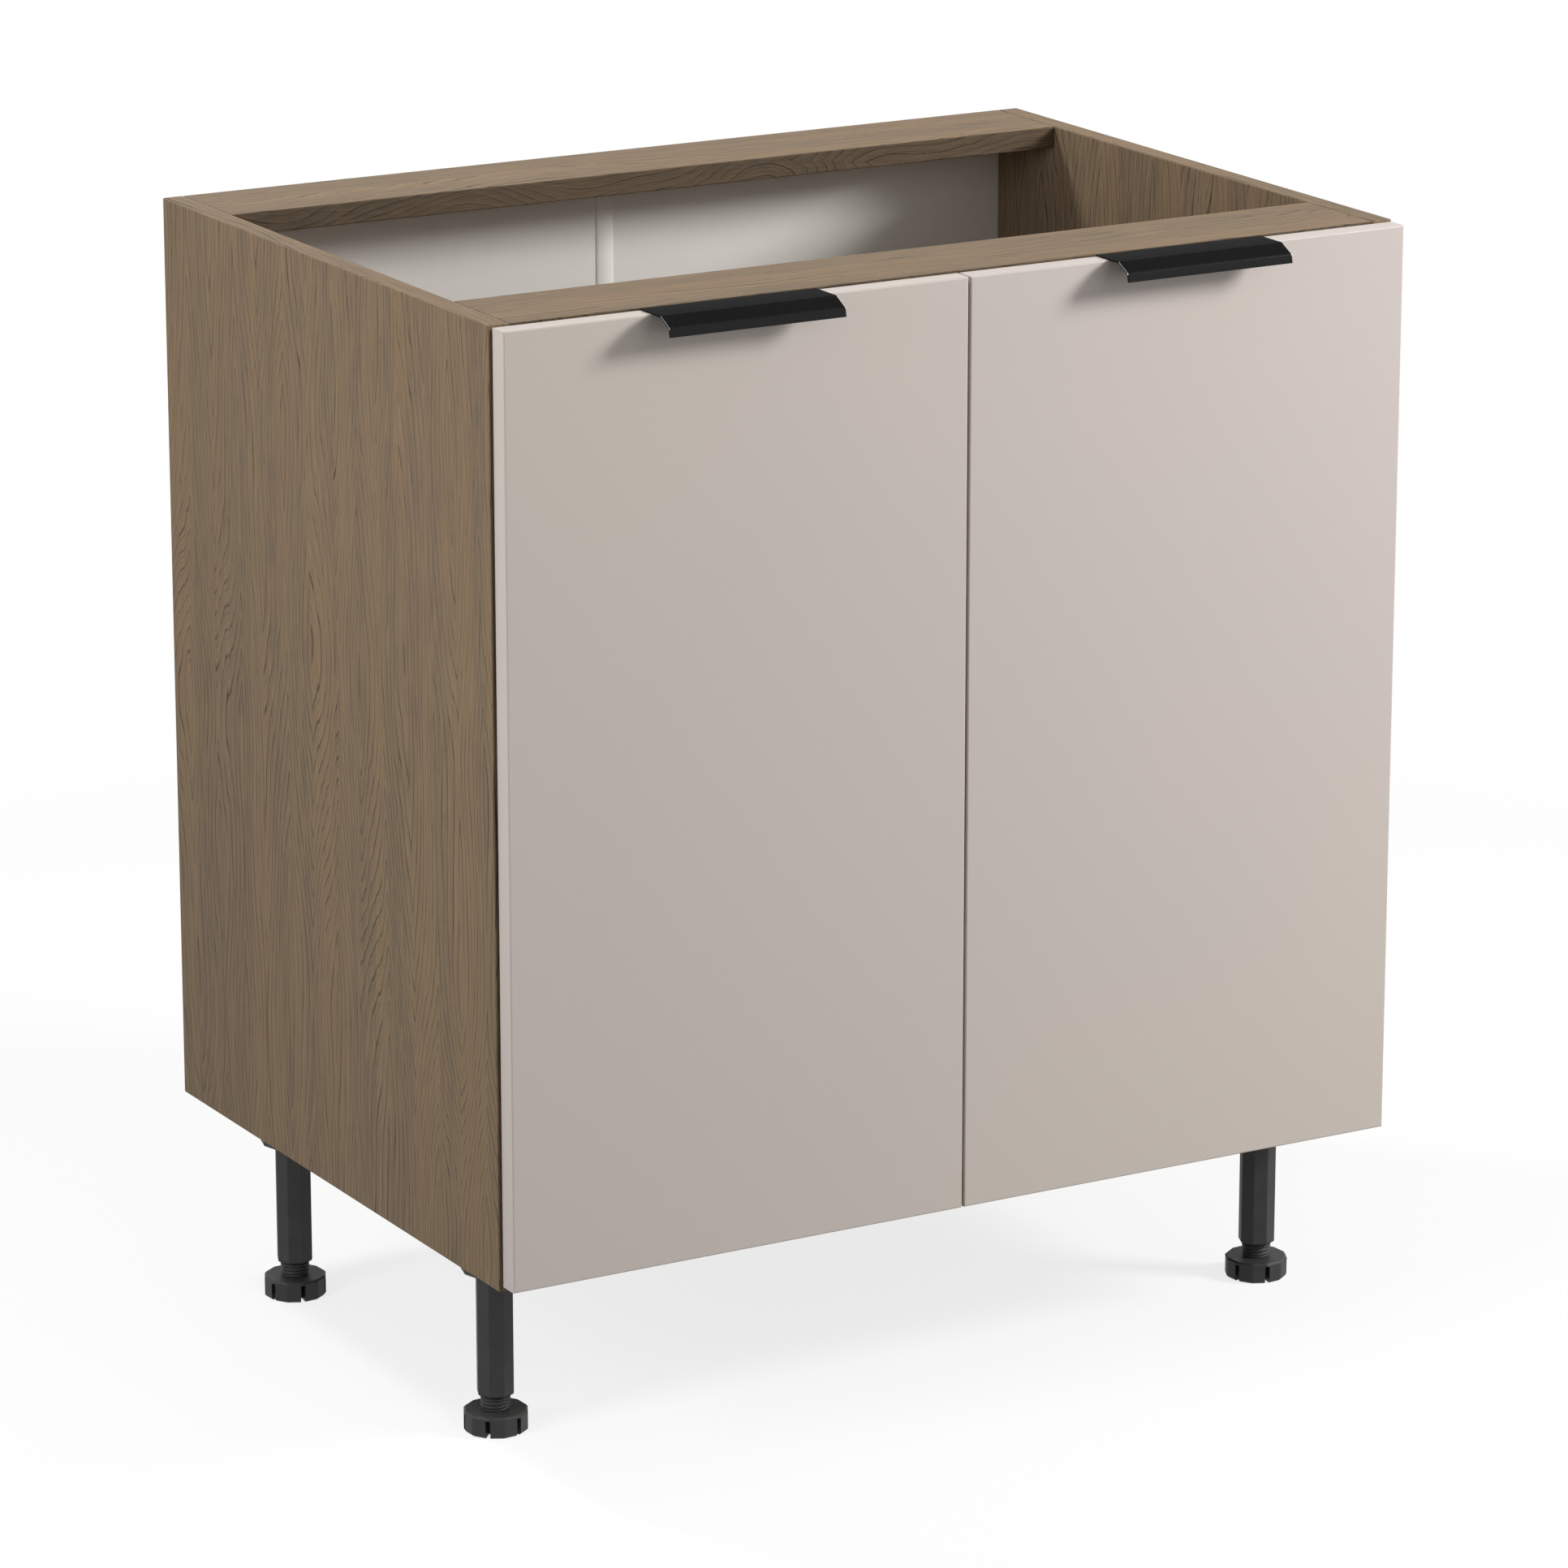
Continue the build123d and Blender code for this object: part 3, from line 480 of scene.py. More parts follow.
def lacquered_metal(name, gloss, roughness):
    """Black lacquer on sheet: near black with a very fine powder texture."""
    shader = new_material(name)
    tone = tuple(finishes().black_metal)
    pale = tuple(part * 1.4 for part in tone)
    powder = shader.speckle(1400, 2.0)
    return shader.finish(
        Base_Color=shader.mix(shader.step(powder, 0.4, 0.7), tone, pale),
        Roughness=roughness + shader.speckle(120, 3.0) * 0.1,
        Normal=shader.bump(shader.speckle(2600, 1.0), 0.03 * MM, 0.35),
        Specular_IOR_Level=gloss,
    )


def metal(name, tone, roughness, brush):
    """Bare or plated metal: fine lines along one axis and cloudy gloss."""
    shader = new_material(name)
    axes = shader.place()
    fine, coarse = 2400, 60
    rates = [coarse if axis == brush else fine for axis in "XYZ"]
    lines = shader.noise([axes[axis] * rate for axis, rate in zip("XYZ", rates)], 2.0)
    cloud = shader.speckle(180, 3.0)
    dull = tuple(part * 0.78 for part in tone)
    return shader.finish(
        Base_Color=shader.mix(shader.step(cloud, 0.3, 0.75), tone, dull),
        Metallic=1.0,
        Roughness=roughness + lines * 0.12,
        Normal=shader.bump(lines, 0.02 * MM, 0.4),
    )


def turned_beech():
    """Pale beech with short dark flecks along the dowel."""
    shader = new_material("beech")
    axes = shader.place()
    fleck = shader.noise((axes["X"] * 250, axes["Y"] * 1500, axes["Z"] * 1500), 2.0)
    dark = tuple(part * 0.62 for part in finishes().beech)
    tone = shader.mix(shader.step(fleck, 0.5, 0.75), finishes().beech, dark)
    return shader.finish(Base_Color=tone, Roughness=0.7, Normal=shader.bump(fleck, 0.1 * MM, 0.3))


def clear_pad():
    """Clear soft plastic, slightly cloudy."""
    shader = new_material("clear_pad")
    cloud = shader.speckle(400, 2.0)
    pale = tuple(part * 0.9 for part in finishes().pad)
    return shader.finish(
        Base_Color=shader.mix(cloud, finishes().pad, pale),
        Roughness=0.18 + cloud * 0.1,
        Transmission_Weight=0.75,
        IOR=1.45,
    )


# Meshes
def grid_faces(rows, columns, wrap=True):
    """Quads between neighbouring points of a grid; wrap joins the last column to the first."""
    row = np.arange(rows - 1)[:, None] * columns
    column = np.arange(columns if wrap else columns - 1)[None, :]
    beside = (column + 1) % columns
    corners = (row + column, row + columns + column, row + columns + beside, row + beside)
    return np.stack(np.broadcast_arrays(*corners), -1).reshape(-1, 4)


def piece(name, points, faces, body, materials, face_finish=None):
    """A mesh from arrays of points and faces, with seams and poles closed, on its body."""
    mesh = bpy.data.meshes.new(name)
    mesh.from_pydata(points.tolist(), [], faces.tolist())
    for material in materials:
        mesh.materials.append(material)
    if face_finish is not None:
        mesh.polygons.foreach_set("material_index", face_finish.astype(np.int32))
    shell = bmesh.new()
    shell.from_mesh(mesh)
    bmesh.ops.remove_doubles(shell, verts=shell.verts, dist=WELD)
    bmesh.ops.dissolve_degenerate(shell, edges=shell.edges, dist=WELD)
    bmesh.ops.recalc_face_normals(shell, faces=shell.faces)
    shell.to_mesh(mesh)
    shell.free()
    mesh.shade_smooth()
    mesh.set_sharp_from_angle(angle=SHARP_ANGLE)
    item = bpy.data.objects.new(name, mesh)
    bpy.context.scene.collection.objects.link(item)
    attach(item, body)
    return item


def rounding(item, width):
    """Rounds a piece's weighted edges and keeps its flat faces flat."""
    bevel = item.modifiers.new("rounding", "BEVEL")
    bevel.limit_method = "WEIGHT"
    bevel.width = width
    bevel.loop_slide = False
    bevel.segments = 2
    flat = item.modifiers.new("flat faces", "WEIGHTED_NORMAL")
    flat.keep_sharp = True


def node_arrays(node):
    """A node's points and triangles, with points that share a place counted once."""
    mesh = frame["nodes"][node].data
    points = np.empty((len(mesh.vertices), 3), np.float32)
    mesh.vertices.foreach_get("co", points.reshape(-1))
    faces = np.empty((len(mesh.loops) // 3, 3), np.int32)
    mesh.loops.foreach_get("vertex_index", faces.reshape(-1))
    cells = np.round(points / WELD).astype(np.int64)
    first, shared = np.unique(cells, axis=0, return_index=True, return_inverse=True)[1:]
    faces = shared.reshape(-1)[faces]
    whole = (faces != np.roll(faces, 1, axis=1)).all(axis=1)
    return points[first], faces[whole]


def body_of(node):
    """The body that a node rides on."""
    return frame["nodes"][node]["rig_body"]


def softened(node, materials, width, bore_material=False):
    """A node's own shape with its long edges rounded. Faces take the first, second or third
    material by the axis that they face along, and the walls of bores take the last one."""
    points, faces = node_arrays(node)
    item = piece(f"{node}_soft", points, faces, body_of(node), materials)
    mesh = item.data
    shell = bmesh.new()
    shell.from_mesh(mesh)
    bmesh.ops.dissolve_limit(shell, angle_limit=FLAT_ANGLE, verts=shell.verts, edges=shell.edges)
    weight = shell.edges.layers.float.new("bevel_weight_edge")
    shortest = 4 * width
    for edge in shell.edges:
        corner = edge.calc_face_angle(0) > CORNER_ANGLE
        edge[weight] = float(corner and edge.calc_length() > shortest)
    shell.to_mesh(mesh)
    shell.free()
    normals = np.empty((len(mesh.polygons), 3), np.float32)
    centres = np.empty((len(mesh.polygons), 3), np.float32)
    mesh.polygons.foreach_get("normal", normals.reshape(-1))
    mesh.polygons.foreach_get("center", centres.reshape(-1))
    finish = np.abs(normals).argmax(axis=1) % len(materials)
    if bore_material:
        depth = np.minimum(centres - points.min(0), points.max(0) - centres).min(axis=1)
        finish[depth > BORE_DEPTH] = len(materials) - 1
    mesh.polygons.foreach_set("material_index", finish.astype(np.int32))
    mesh.set_sharp_from_angle(angle=SHARP_ANGLE)
    rounding(item, width)
    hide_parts(node)
    return item


def paint(material, *nodes):
    """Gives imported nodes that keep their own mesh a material."""
    for node in nodes:
        frame["nodes"][node].material_slots[0].material = material


def rounded_path(corners, radius, steps):
    """Straight runs joined by tangent arcs, with the unit normal on the left of each point.

    At a corner that turns by an angle, the arc starts and ends radius * tan(angle / 2) from it, and
    its normals turn evenly from one run's to the next's."""
    corners = np.asarray(corners, float)
    runs = np.diff(corners, axis=0)
    heading = np.arctan2(runs[:, 1], runs[:, 0])
    turn = (np.diff(heading) + math.pi) % (2 * math.pi) - math.pi
    start = heading[:-1]
    along = np.stack((np.cos(start), np.sin(start)), -1)
    left = np.stack((-np.sin(start), np.cos(start)), -1)
    side = np.sign(turn)[:, None]
    back = (radius * np.tan(np.abs(turn) / 2))[:, None]
    centre = corners[1:-1] - along * back + left * side * radius
    angle = start[:, None] + turn[:, None] * np.linspace(0, 1, steps)[None, :]
    normal = np.stack((-np.sin(angle), np.cos(angle)), -1)
    arc = centre[:, None] - normal * side[:, None] * radius
    ends = np.stack((-np.sin(heading[[0, -1]]), np.cos(heading[[0, -1]])), -1)
    points = np.concatenate((corners[:1], arc.reshape(-1, 2), corners[-1:]))
    normals = np.concatenate((ends[:1], normal.reshape(-1, 2), ends[1:]))
    return points, normals


def prism(loop, low, high):
    """A closed outline in X and Y carried straight up from one height to another, with flat ends.

    Rows are the two ends and, inside each, the outline drawn in to its middle."""
    middle = np.broadcast_to(loop.mean(0), loop.shape)
    rows = ((middle, low), (loop, low), (loop, high), (middle, high))
    points = [np.column_stack((outline, np.full(len(outline), height))) for outline, height in rows]
    return np.concatenate(points), grid_faces(len(rows), len(loop))


def solid_boxes(node, count):
    """Lowest and highest corners of a node's like solids, which follow each other in its mesh."""
    mesh = frame["nodes"][node].data
    points = np.empty((len(mesh.vertices), 3), np.float32)
    mesh.vertices.foreach_get("co", points.reshape(-1))
    if len(points) % count:
        raise ValueError(f"{node} doesn't divide into {count} like solids")
    groups = points.reshape(count, -1, 3)
    return groups.min(axis=1), groups.max(axis=1)


def driven_screws(name, node, count, outward, material, sink, shank, dome, pan=False):
    """Screws with a cross recess. Height over radius and angle: a low dome whose middle is cut by
    two crossed bars with sloping walls, then the head's rim, its underside, the shank and a point."""
    low, high = solid_boxes(node, count)
    normal = np.broadcast_to(np.asarray(outward, float), (count, 3))
    half = (high - low) / 2
    reach = (np.abs(normal) * half).sum(1)
    place = (low + high) / 2 + normal * reach[:, None]
    head = float(np.where(np.abs(normal) > 0.5, 0, half).max())
    deep = float(2 * reach.max())
    drive = sizes().drive_half
    wall = 0.4 * drive
    bar_end = 0.68 * head
    end_wall = 0.15 * head
    tip = 0.8 * deep
    rows, columns = 13, 48
    angle = np.arange(columns) * (2 * math.pi / columns)
    spread = np.linspace(0, head, rows)[:, None]
    x, y = np.abs(spread * np.cos(angle)), np.abs(spread * np.sin(angle))
    bar = np.clip((drive - np.minimum(x, y)) / wall, 0, 1)
    middle = np.clip((bar_end - np.maximum(x, y)) / end_wall, 0, 1)
    crown = -dome * (spread / head) ** 2 - sizes().drive_depth * bar * middle
    rim = sink if pan else dome + 0.1 * sink
    below = np.array(((head, -rim), (shank, -sink), (shank, -tip), (0, -deep)))
    radius = np.concatenate((spread, below[:, :1]))
    height = np.concatenate((crown, np.broadcast_to(below[:, 1:], (len(below), columns))))
    aslant = (0.3, 0.5, 0.8)
    first = np.cross(normal, aslant)
    first /= np.linalg.norm(first, axis=1, keepdims=True)
    second = np.cross(normal, first)
    along = np.stack((radius * np.cos(angle), radius * np.sin(angle), height), -1)
    axes = np.stack((first, second, normal), 1)
    points = place[:, None, None] + np.einsum("rca,sai->srci", along, axes)
    quads = grid_faces(len(radius), columns)
    faces = quads + (np.arange(count) * radius.size * columns)[:, None, None]
    item = piece(
        name, points.reshape(-1, 3), faces.reshape(-1, 4), body_of(node), [material]
    )
    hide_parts(node)


# Operators, one for each group of pieces
class CABINET_OT_boards(bpy.types.Operator):
    """Dress the sides, bottom, rails and shelf as edged oak-decor boards"""

    bl_idname = "cabinet.boards"
    bl_label = "Boards"

    def execute(self, context):
        core = chipboard()
        upright = [
            oak("oak_side", "Z", "Y"),
            oak("oak_side_edge", "Z", "X"),
            oak("oak_side_end", "Y", "X"),
            core,
        ]
        # Edges towards front and back take a darker copy of the oak: painted shade on the cross
        # boards' edges, partly a darker decor
        level = [
            oak("oak_rail_end", "Y", "Z"),
            oak("oak_rail_edge", "X", "Z", finishes().edge_painted_shade, finishes().edge_run),
            oak("oak_rail", "X", "Y"),
            core,
        ]
        width = sizes().board_round
        for hand in HANDS:
            softened(f"side_panel_{hand}", upright, width, bore_material=True)
        for node in ("bottom_panel", "front_top_rail", "rear_top_rail", "shelf"):
            softened(node, level, width, bore_material=True)
        return {"FINISHED"}


class CABINET_OT_back(bpy.types.Operator):
    """Dress the thin back, its nails and the crowned strip that joins its halves"""

    bl_idname = "cabinet.back"
    bl_label = "Back"

    def execute(self, context):
        paint(back_board(), "back_panel_left", "back_panel_right")
        nails = metal("nail_steel", finishes().nickel, roughness=0.35, brush="Z")
        paint(nails, "back_panel_nails")
        white = tuple(finishes().white_plastic)
        self.strip(plastic("white_plastic", white, grain=900, roughness=0.38))
        return {"FINISHED"}

    def strip(self, material):
        """Two outlines carried upright: an inner flange, whose face falls with the square of the
        distance from its middle, and a rear flange with the web between the back's halves."""
        size = sizes()
        low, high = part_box("back_joining_strip")
        inside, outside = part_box("back_panel_left")
        half = (high.x - low.x) / 2
        across = np.linspace(-1, 1, 17)
        crown = low.y + size.strip_crown * across**2
        crown[[0, -1]] += size.strip_edge
        inner = np.column_stack((half * across, crown))
        inner = np.concatenate((inner, [(half, inside.y), (-half, inside.y)]))
        end = size.strip_end
        web = size.strip_web / 2
        rear = [(web, inside.y), (web, outside.y), (half, outside.y), (half, high.y)]
        rear = np.array(rear + [(-x, y) for x, y in reversed(rear)])
        pieces = (prism(inner, low.z + end, high.z - end), prism(rear, low.z, high.z))
        count = len(pieces[0][0])
        points = np.concatenate([points for points, faces in pieces])
        faces = np.concatenate((pieces[0][1], pieces[1][1] + count))
        item = piece("joining_strip_crowned", points, faces, "carcass", [material])
        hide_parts("back_joining_strip")


class CABINET_OT_doors(bpy.types.Operator):
    """Dress the doors with satin film and give them domed bumpers"""

    bl_idname = "cabinet.doors"
    bl_label = "Doors"

    def execute(self, context):
        paint(door_film(), *(f"door_{hand}" for hand in HANDS))
        pad = clear_pad()
        for hand in HANDS:
            self.bumpers(f"door_bumpers_{hand}", pad)
        return {"FINISHED"}

    def bumpers(self, node, material):
        """Two pads: height over radius is a rim and, above it, half an ellipse."""
        low, high = solid_boxes(node, 2)
        rows, columns = 10, 32
        share = np.sin(np.linspace(0, math.pi / 2, rows))[::-1]
        thick = (high - low)[0, 1]
        radius = (high - low)[0, 0] / 2
        rim = sizes().pad_rim
        height = rim + (thick - rim) * np.sqrt(1 - share**2)
        share = np.concatenate(((0, 1), share))
        height = np.concatenate(((0, 0), height))
        angle = np.arange(columns) * (2 * math.pi / columns)
        centre = (low + high) / 2
        x = centre[:, 0, None, None] + radius * share[None, :, None] * np.cos(angle)
        z = centre[:, 2, None, None] + radius * share[None, :, None] * np.sin(angle)
        y = np.broadcast_to(low[:, 1, None, None] + height[None, :, None], x.shape)
        points = np.stack((x, y, z), -1).reshape(-1, 3)
        quads = grid_faces(rows + 2, columns)
        faces = np.concatenate((quads, quads + (rows + 2) * columns))
        item = piece(f"{node}_domed", points, faces, body_of(node), [material])
        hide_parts(node)


class CABINET_OT_pulls(bpy.types.Operator):
    """Bend the black edge pulls and paint a highlight on their ends as thin bare rims on the slopes
    """

    bl_idname = "cabinet.pulls"
    bl_label = "Edge pulls"

    def execute(self, context):
        black = lacquered_metal("black_metal", gloss=0.0015, roughness=0.34)
        bend = lacquered_metal("black_metal_bend", gloss=0.06, roughness=0.2)
        bright = metal("cut_metal", finishes().cut_metal, roughness=0.22, brush="Z")
        for hand in HANDS:
            self.pull(hand, [black, bend, bright])
        return {"FINISHED"}

    def pull(self, hand, materials):
        """A bent outline with the sheet's thickness on its inside, carried along the door's width.

        The outline is closed round the sheet and stands at both ends and at the inner line of their
        rims. The rims of the slope and of the bend below it are bare bright metal, a painted
        highlight where the pulls' ends catch the light, and that bend and the lip are glossy between
        them. The end faces are black."""
        size = sizes()
        node = f"handle_{hand}"
        low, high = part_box(node)
        door_low, door_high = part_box(f"door_{hand}")
        sheet = high.z - door_high.z
        nose = door_low.y - size.pull_flat
        fall = (nose - size.pull_slope_run, high.z - size.pull_slope_drop)
        lip = (fall[0] - size.pull_lip_lean, fall[1] - size.pull_lip_drop)
        corners = [(high.y, low.z), (high.y, high.z), (nose, high.z), fall, lip]
        outside, normals = rounded_path(corners, size.pull_bend, steps=9)
        loop = np.concatenate((outside, (outside + normals * sheet)[::-1]))
        rim = size.pull_rim
        stations = (low.x, low.x + rim, high.x - rim, high.x)
        points = np.concatenate([np.column_stack((np.full(len(loop), x), loop)) for x in stations])
        count = len(outside)
        sides = grid_faces(len(stations), len(loop))
        near = np.arange(count - 1)
        cap = np.column_stack((near, near + 1, len(loop) - 2 - near, len(loop) - 1 - near))
        faces = np.concatenate((sides, cap, cap + (len(stations) - 1) * len(loop)))
        middle = (outside[:-1] + outside[1:]) / 2
        fallen = (high.z - middle[:, 1]) / size.pull_slope_drop
        beyond = middle[:, 0] < door_low.y
        # Bare bright rims only on the slope and the bend below it: a painted highlight on the pulls'
        # ends
        bare = np.where(beyond & (fallen > PULL_HIGHLIGHT_RIMS[0]) & (fallen < PULL_HIGHLIGHT_RIMS[1]), 2, 0)
        glossy = np.where(beyond & (fallen > PULL_GLOSSY), 1, 0)
        hidden = np.zeros(count + 1)
        rims = np.concatenate((bare, hidden))
        ends = np.zeros(2 * len(bare))
        finish = np.concatenate((rims, glossy, hidden, rims, ends))
        item = piece(f"{node}_bent", points, faces, body_of(node), materials, finish)
        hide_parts(node)


class CABINET_OT_legs(bpy.types.Operator):
    """Mould the leg sockets and posts, and cut the slotted feet with their threads"""

    bl_idname = "cabinet.legs"
    bl_label = "Legs"

    def execute(self, context):
        black = tuple(finishes().black_plastic)
        material = plastic("black_plastic", black, grain=1500, roughness=0.5)
        for leg in FOOT_TURNS:
            softened(f"leg_socket_{leg}", [material], sizes().plastic_round)
            softened(f"leg_post_{leg}", [material], sizes().plastic_round)
            self.foot(f"leg_foot_{leg}", math.radians(FOOT_TURNS[leg]), material)
        return {"FINISHED"}

    def foot(self, node, turn, material):
        """Rings of one outline: the slotted rim, its roof, the disc's top and a threaded stem.

        The outline repeats one slot, which stands on a corner, and the corner after it. On the
        stem, the radius over height and angle is a tooth that climbs one pitch in each turn. Half the
        tooth's foot and its flank are shares of a pitch."""
        size = sizes()
        low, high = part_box(node)
        middle = ((low.x + high.x) / 2, (low.y + high.y) / 2, 0)
        slots, sides = 6, 12
        rim_points, turn_rows = 11, 10
        half_tooth, flank = 0.45, 0.33
        apothem = size.foot_radius
        slot = size.foot_slot_width / 2
        start = size.foot_slot_start
        sector = 2 * math.pi / slots
        half_side = math.pi / sides
        mouth = math.atan2(slot, (apothem - slot * math.sin(half_side)) / math.cos(half_side))
        between = np.linspace(mouth, sector - mouth, rim_points)[:-1]
        bearing = np.concatenate(((-mouth, -mouth / 2, 0, mouth / 2), between))
        reach = apothem / np.cos(bearing % (2 * half_side) - half_side)
        full = np.stack((reach * np.cos(bearing), reach * np.sin(bearing)), -1)
        cut = full.copy()
        cut[1:4] = ((start, -slot), (start, 0), (start, slot))
        turns = turn + np.arange(slots) * sector
        rows = np.stack((np.cos(turns), -np.sin(turns), np.sin(turns), np.cos(turns)), -1)
        full, cut = (np.einsum("sij,pj->spi", rows.reshape(-1, 2, 2), ring) for ring in (full, cut))
        on_rim = np.linalg.norm(cut, axis=-1, keepdims=True) > start + slot
        inset = 1 - size.foot_bevel / apothem
        cut_inset = np.where(on_rim, cut * inset, cut)
        angle = np.arctan2(full[..., 1], full[..., 0]).reshape(-1)
        full, cut, cut_inset = (ring.reshape(-1, 2) for ring in (full, cut, cut_inset))
        circle = np.stack((np.cos(angle), np.sin(angle)), -1)
        roof = size.foot_height - size.foot_slot_roof
        disc = (
            (circle * 0, 0.0),
            (circle * (start - slot), 0.0),
            (cut_inset, 0.0),
            (cut, size.foot_bevel),
            (cut, roof),
            (full, roof),
            (full, size.foot_height - size.foot_bevel),
            (full * inset, size.foot_height),
        )
        disc = [np.column_stack((ring, np.full(len(ring), height))) for ring, height in disc]
        core = size.thread_radius - size.thread_depth
        pitches = (high.z - size.foot_height) / size.thread_pitch
        climb = np.linspace(0, pitches, turn_rows * round(pitches))[:, None]
        phase = (climb - angle / (2 * math.pi)) % 1
        tooth = np.clip((half_tooth - np.abs(phase - 0.5)) / flank, 0, 1)
        fade = np.clip(np.minimum(climb, pitches - climb), 0, 1)
        radius = core + size.thread_depth * tooth * fade
        height = np.broadcast_to(size.foot_height + climb * size.thread_pitch, radius.shape)
        stem = np.stack((radius * np.cos(angle), radius * np.sin(angle), height), -1)
        cap = np.column_stack((circle * 0, np.full(len(angle), high.z)))
        points = np.concatenate((np.stack(disc), stem, cap[None])) + np.array(middle)
        faces = grid_faces(len(points), len(angle))
        points = points.reshape(-1, 3)
        item = piece(f"{node}_threaded", points, faces, body_of(node), [material])
        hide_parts(node)


class CABINET_OT_hinges(bpy.types.Operator):
    """Dress the cup hinges in plated steel and drive their screws"""

    bl_idname = "cabinet.hinges"
    bl_label = "Hinges"

    def execute(self, context):
        size = sizes()
        steel = metal("nickel_steel", finishes().nickel, roughness=0.24, brush="Y")
        bolt = metal("screw_steel", finishes().nickel, roughness=0.3, brush="Z")
        sunk = (bolt, size.screw_sink, size.screw_shank, size.screw_dome)
        pan = (bolt, size.arm_screw_head, size.arm_screw_shank, size.arm_screw_dome, True)
        rearward, downward = (0, 1, 0), (0, 0, -1)
        inward = np.repeat(((1.0, 0, 0), (-1.0, 0, 0)), 4, axis=0)
        paint(steel, "hinge_arm_pins")
        for hand in HANDS:
            paint(steel, f"hinge_links_{hand}", f"hinge_cup_pins_{hand}")
            for level in LEVELS:
                paint(steel, f"hinge_cup_{hand}_{level}")
                for part in ("arm", "plate"):
                    node = f"hinge_{part}_{hand}_{level}"
                    softened(node, [steel], size.metal_round)
            node = f"hinge_cup_screws_{hand}"
            driven_screws(f"cup_screws_{hand}_driven", node, 4, rearward, *sunk)
            node = f"handle_screws_{hand}"
            driven_screws(f"pull_screws_{hand}_driven", node, 2, rearward, *sunk)
        driven_screws("plate_screws_driven", "hinge_plate_screws", 8, inward, *sunk)
        driven_screws("arm_screws_driven", "hinge_arm_screws", 8, inward, *pan)
        driven_screws("socket_screws_driven", "leg_socket_screws", 16, downward, *sunk)
        return {"FINISHED"}


class CABINET_OT_fittings(bpy.types.Operator):
    """Dress the cams, bolts, dowels and shelf pins"""

    bl_idname = "cabinet.fittings"
    bl_label = "Fittings"

    def execute(self, context):
        zinc = metal("cast_zinc", finishes().zinc, roughness=0.45, brush="X")
        paint(zinc, "cam_locks", "cam_bolts")
        paint(turned_beech(), "wooden_dowels")
        pins = metal("pin_steel", finishes().nickel, roughness=0.3, brush="X")
        paint(pins, "shelf_pins")
        return {"FINISHED"}


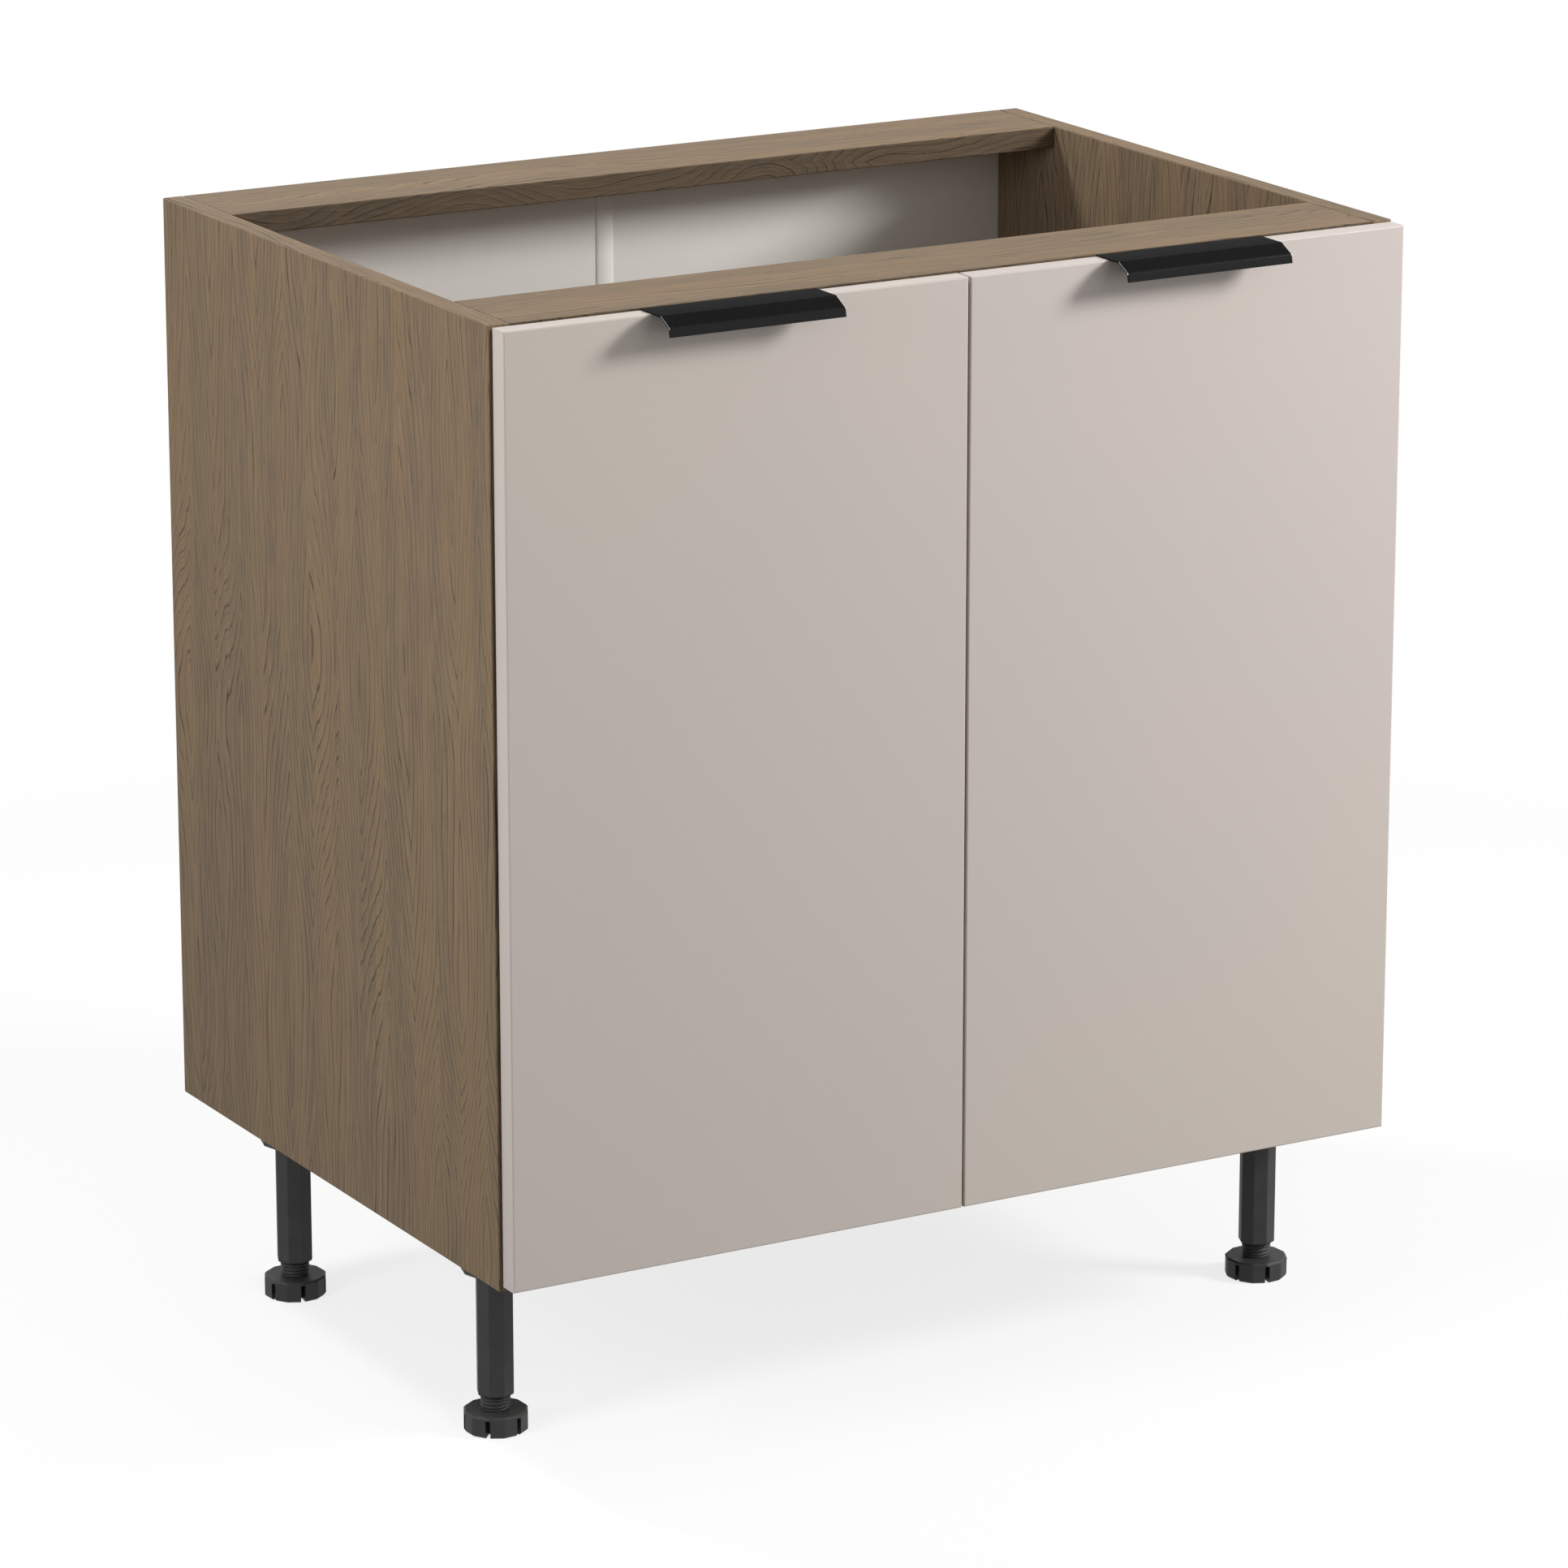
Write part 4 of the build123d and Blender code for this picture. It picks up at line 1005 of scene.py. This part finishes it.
class CABINET_OT_stage(bpy.types.Operator):
    """Set the floor, the lamps, the even light and the camera"""

    bl_idname = "cabinet.stage"
    bl_label = "Stage"

    def execute(self, context):
        stage = context.scene.cabinet_stage
        context.scene.view_settings.view_transform = "Standard"
        self.floor(context, stage)
        self.light_all_round(context, stage)
        aim = Vector((0, 0, stage.aim_height))
        for name, (place, side) in LAMPS.items():
            self.lamp(context, name, Vector(place), aim, side, getattr(stage, f"{name}_power"))
        lens = bpy.data.cameras.new("camera")
        lens.lens = stage.lens
        camera = bpy.data.objects.new("camera", lens)
        camera.location = stage.camera_place
        camera.rotation_euler = (math.pi / 2 - stage.camera_dip, 0, stage.camera_turn)
        context.scene.collection.objects.link(camera)
        context.scene.camera = camera
        return {"FINISHED"}

    def seen(self, shader):
        """1 for rays from the camera, off gloss and through clear plastic."""
        path = shader.node("ShaderNodeLightPath").socket.node.outputs
        camera, gloss, clear = (
            Wire(shader, path[f"Is {kind} Ray"]) for kind in ("Camera", "Glossy", "Transmission")
        )
        return camera.most(gloss).most(clear)

    def floor(self, context, stage):
        """A wide flat floor, near white to the eye, that keeps the shadow under the feet."""
        half = stage.floor_half
        corners = [(-half, -half, 0), (half, -half, 0), (half, half, 0), (-half, half, 0)]
        mesh = bpy.data.meshes.new("floor")
        mesh.from_pydata(corners, [], [(0, 1, 2, 3)])
        shader = new_material("floor")
        nodes = shader.tree.nodes
        seen = self.seen(shader)
        tone = shader.mix(seen, (stage.floor_bounce,) * 3, (1, 1, 1))
        shader.finish(Base_Color=tone, Roughness=0.9, Specular_IOR_Level=0.0)
        glow = shader.node("ShaderNodeEmission", None, {"Color": (1, 1, 1), "Strength": 1.0})
        lit = Wire(shader, nodes["Principled BSDF"].outputs[0])
        spot = shader.place()
        away = (spot["X"] * spot["X"] + spot["Y"] * spot["Y"]) ** 0.5
        white = shader.step(away, stage.fade_start, stage.fade_end).most(stage.floor_white)
        mixed = shader.node("ShaderNodeMixShader", None, {0: seen * white, 1: lit, 2: glow})
        shader.feed(nodes["Material Output"].inputs["Surface"], mixed)
        mesh.materials.append(shader.owner)
        item = bpy.data.objects.new("floor", mesh)
        context.scene.collection.objects.link(item)

    def light_all_round(self, context, stage):
        """Even white light; the eye sees plain white."""
        shader = Shader(bpy.data.worlds.new("even_light"))
        sky = shader.tree.nodes["Background"].inputs
        shader.feed(sky["Color"], (1, 1, 1))
        shader.feed(sky["Strength"], self.seen(shader) * (1 - stage.ambient) + stage.ambient)
        context.scene.world = shader.owner

    def lamp(self, context, name, place, aim, side, power):
        """A square soft lamp that faces the cabinet."""
        light = bpy.data.lights.new(name, "AREA")
        light.size = side
        light.energy = power
        item = bpy.data.objects.new(name, light)
        item.location = place
        item.rotation_euler = (aim - place).to_track_quat("-Z", "Y").to_euler()
        context.scene.collection.objects.link(item)


class CABINET_PT_looks(bpy.types.Panel):
    """Lists what can be dressed and the settings that it uses"""

    bl_idname = "CABINET_PT_looks"
    bl_label = "Kitchen base cabinet"
    bl_space_type = "VIEW_3D"
    bl_region_type = "UI"
    bl_category = "Cabinet"

    def draw(self, context):
        for operator in OPERATORS:
            self.layout.operator(operator.bl_idname)
        for group in GROUPS:
            settings = getattr(context.scene, group)
            box = self.layout.box()
            for name in settings.bl_rna.properties.keys():
                if name not in ("rna_type", "name"):
                    box.prop(settings, name)


GROUPS = {
    "cabinet_finish": CabinetFinish,
    "cabinet_sizes": CabinetSizes,
    "cabinet_stage": CabinetStage,
}
OPERATORS = (
    CABINET_OT_boards,
    CABINET_OT_back,
    CABINET_OT_doors,
    CABINET_OT_pulls,
    CABINET_OT_legs,
    CABINET_OT_hinges,
    CABINET_OT_fittings,
    CABINET_OT_stage,
)


def register():
    """Registers the groups, operators and panel, and hangs the groups on the scene."""
    for kind in (*GROUPS.values(), *OPERATORS, CABINET_PT_looks):
        bpy.utils.register_class(kind)
    for name, kind in GROUPS.items():
        setattr(bpy.types.Scene, name, bpy.props.PointerProperty(type=kind))


def unregister():
    """Takes away what register added."""
    for name in GROUPS:
        delattr(bpy.types.Scene, name)
    for kind in reversed((*GROUPS.values(), *OPERATORS, CABINET_PT_looks)):
        bpy.utils.unregister_class(kind)


def main():
    """Dresses every group in order and sets the stage."""
    register()
    bpy.ops.cabinet.boards()
    bpy.ops.cabinet.back()
    bpy.ops.cabinet.doors()
    bpy.ops.cabinet.pulls()
    bpy.ops.cabinet.legs()
    bpy.ops.cabinet.hinges()
    bpy.ops.cabinet.fittings()
    bpy.ops.cabinet.stage()


if __name__ == "__main__":
    main()
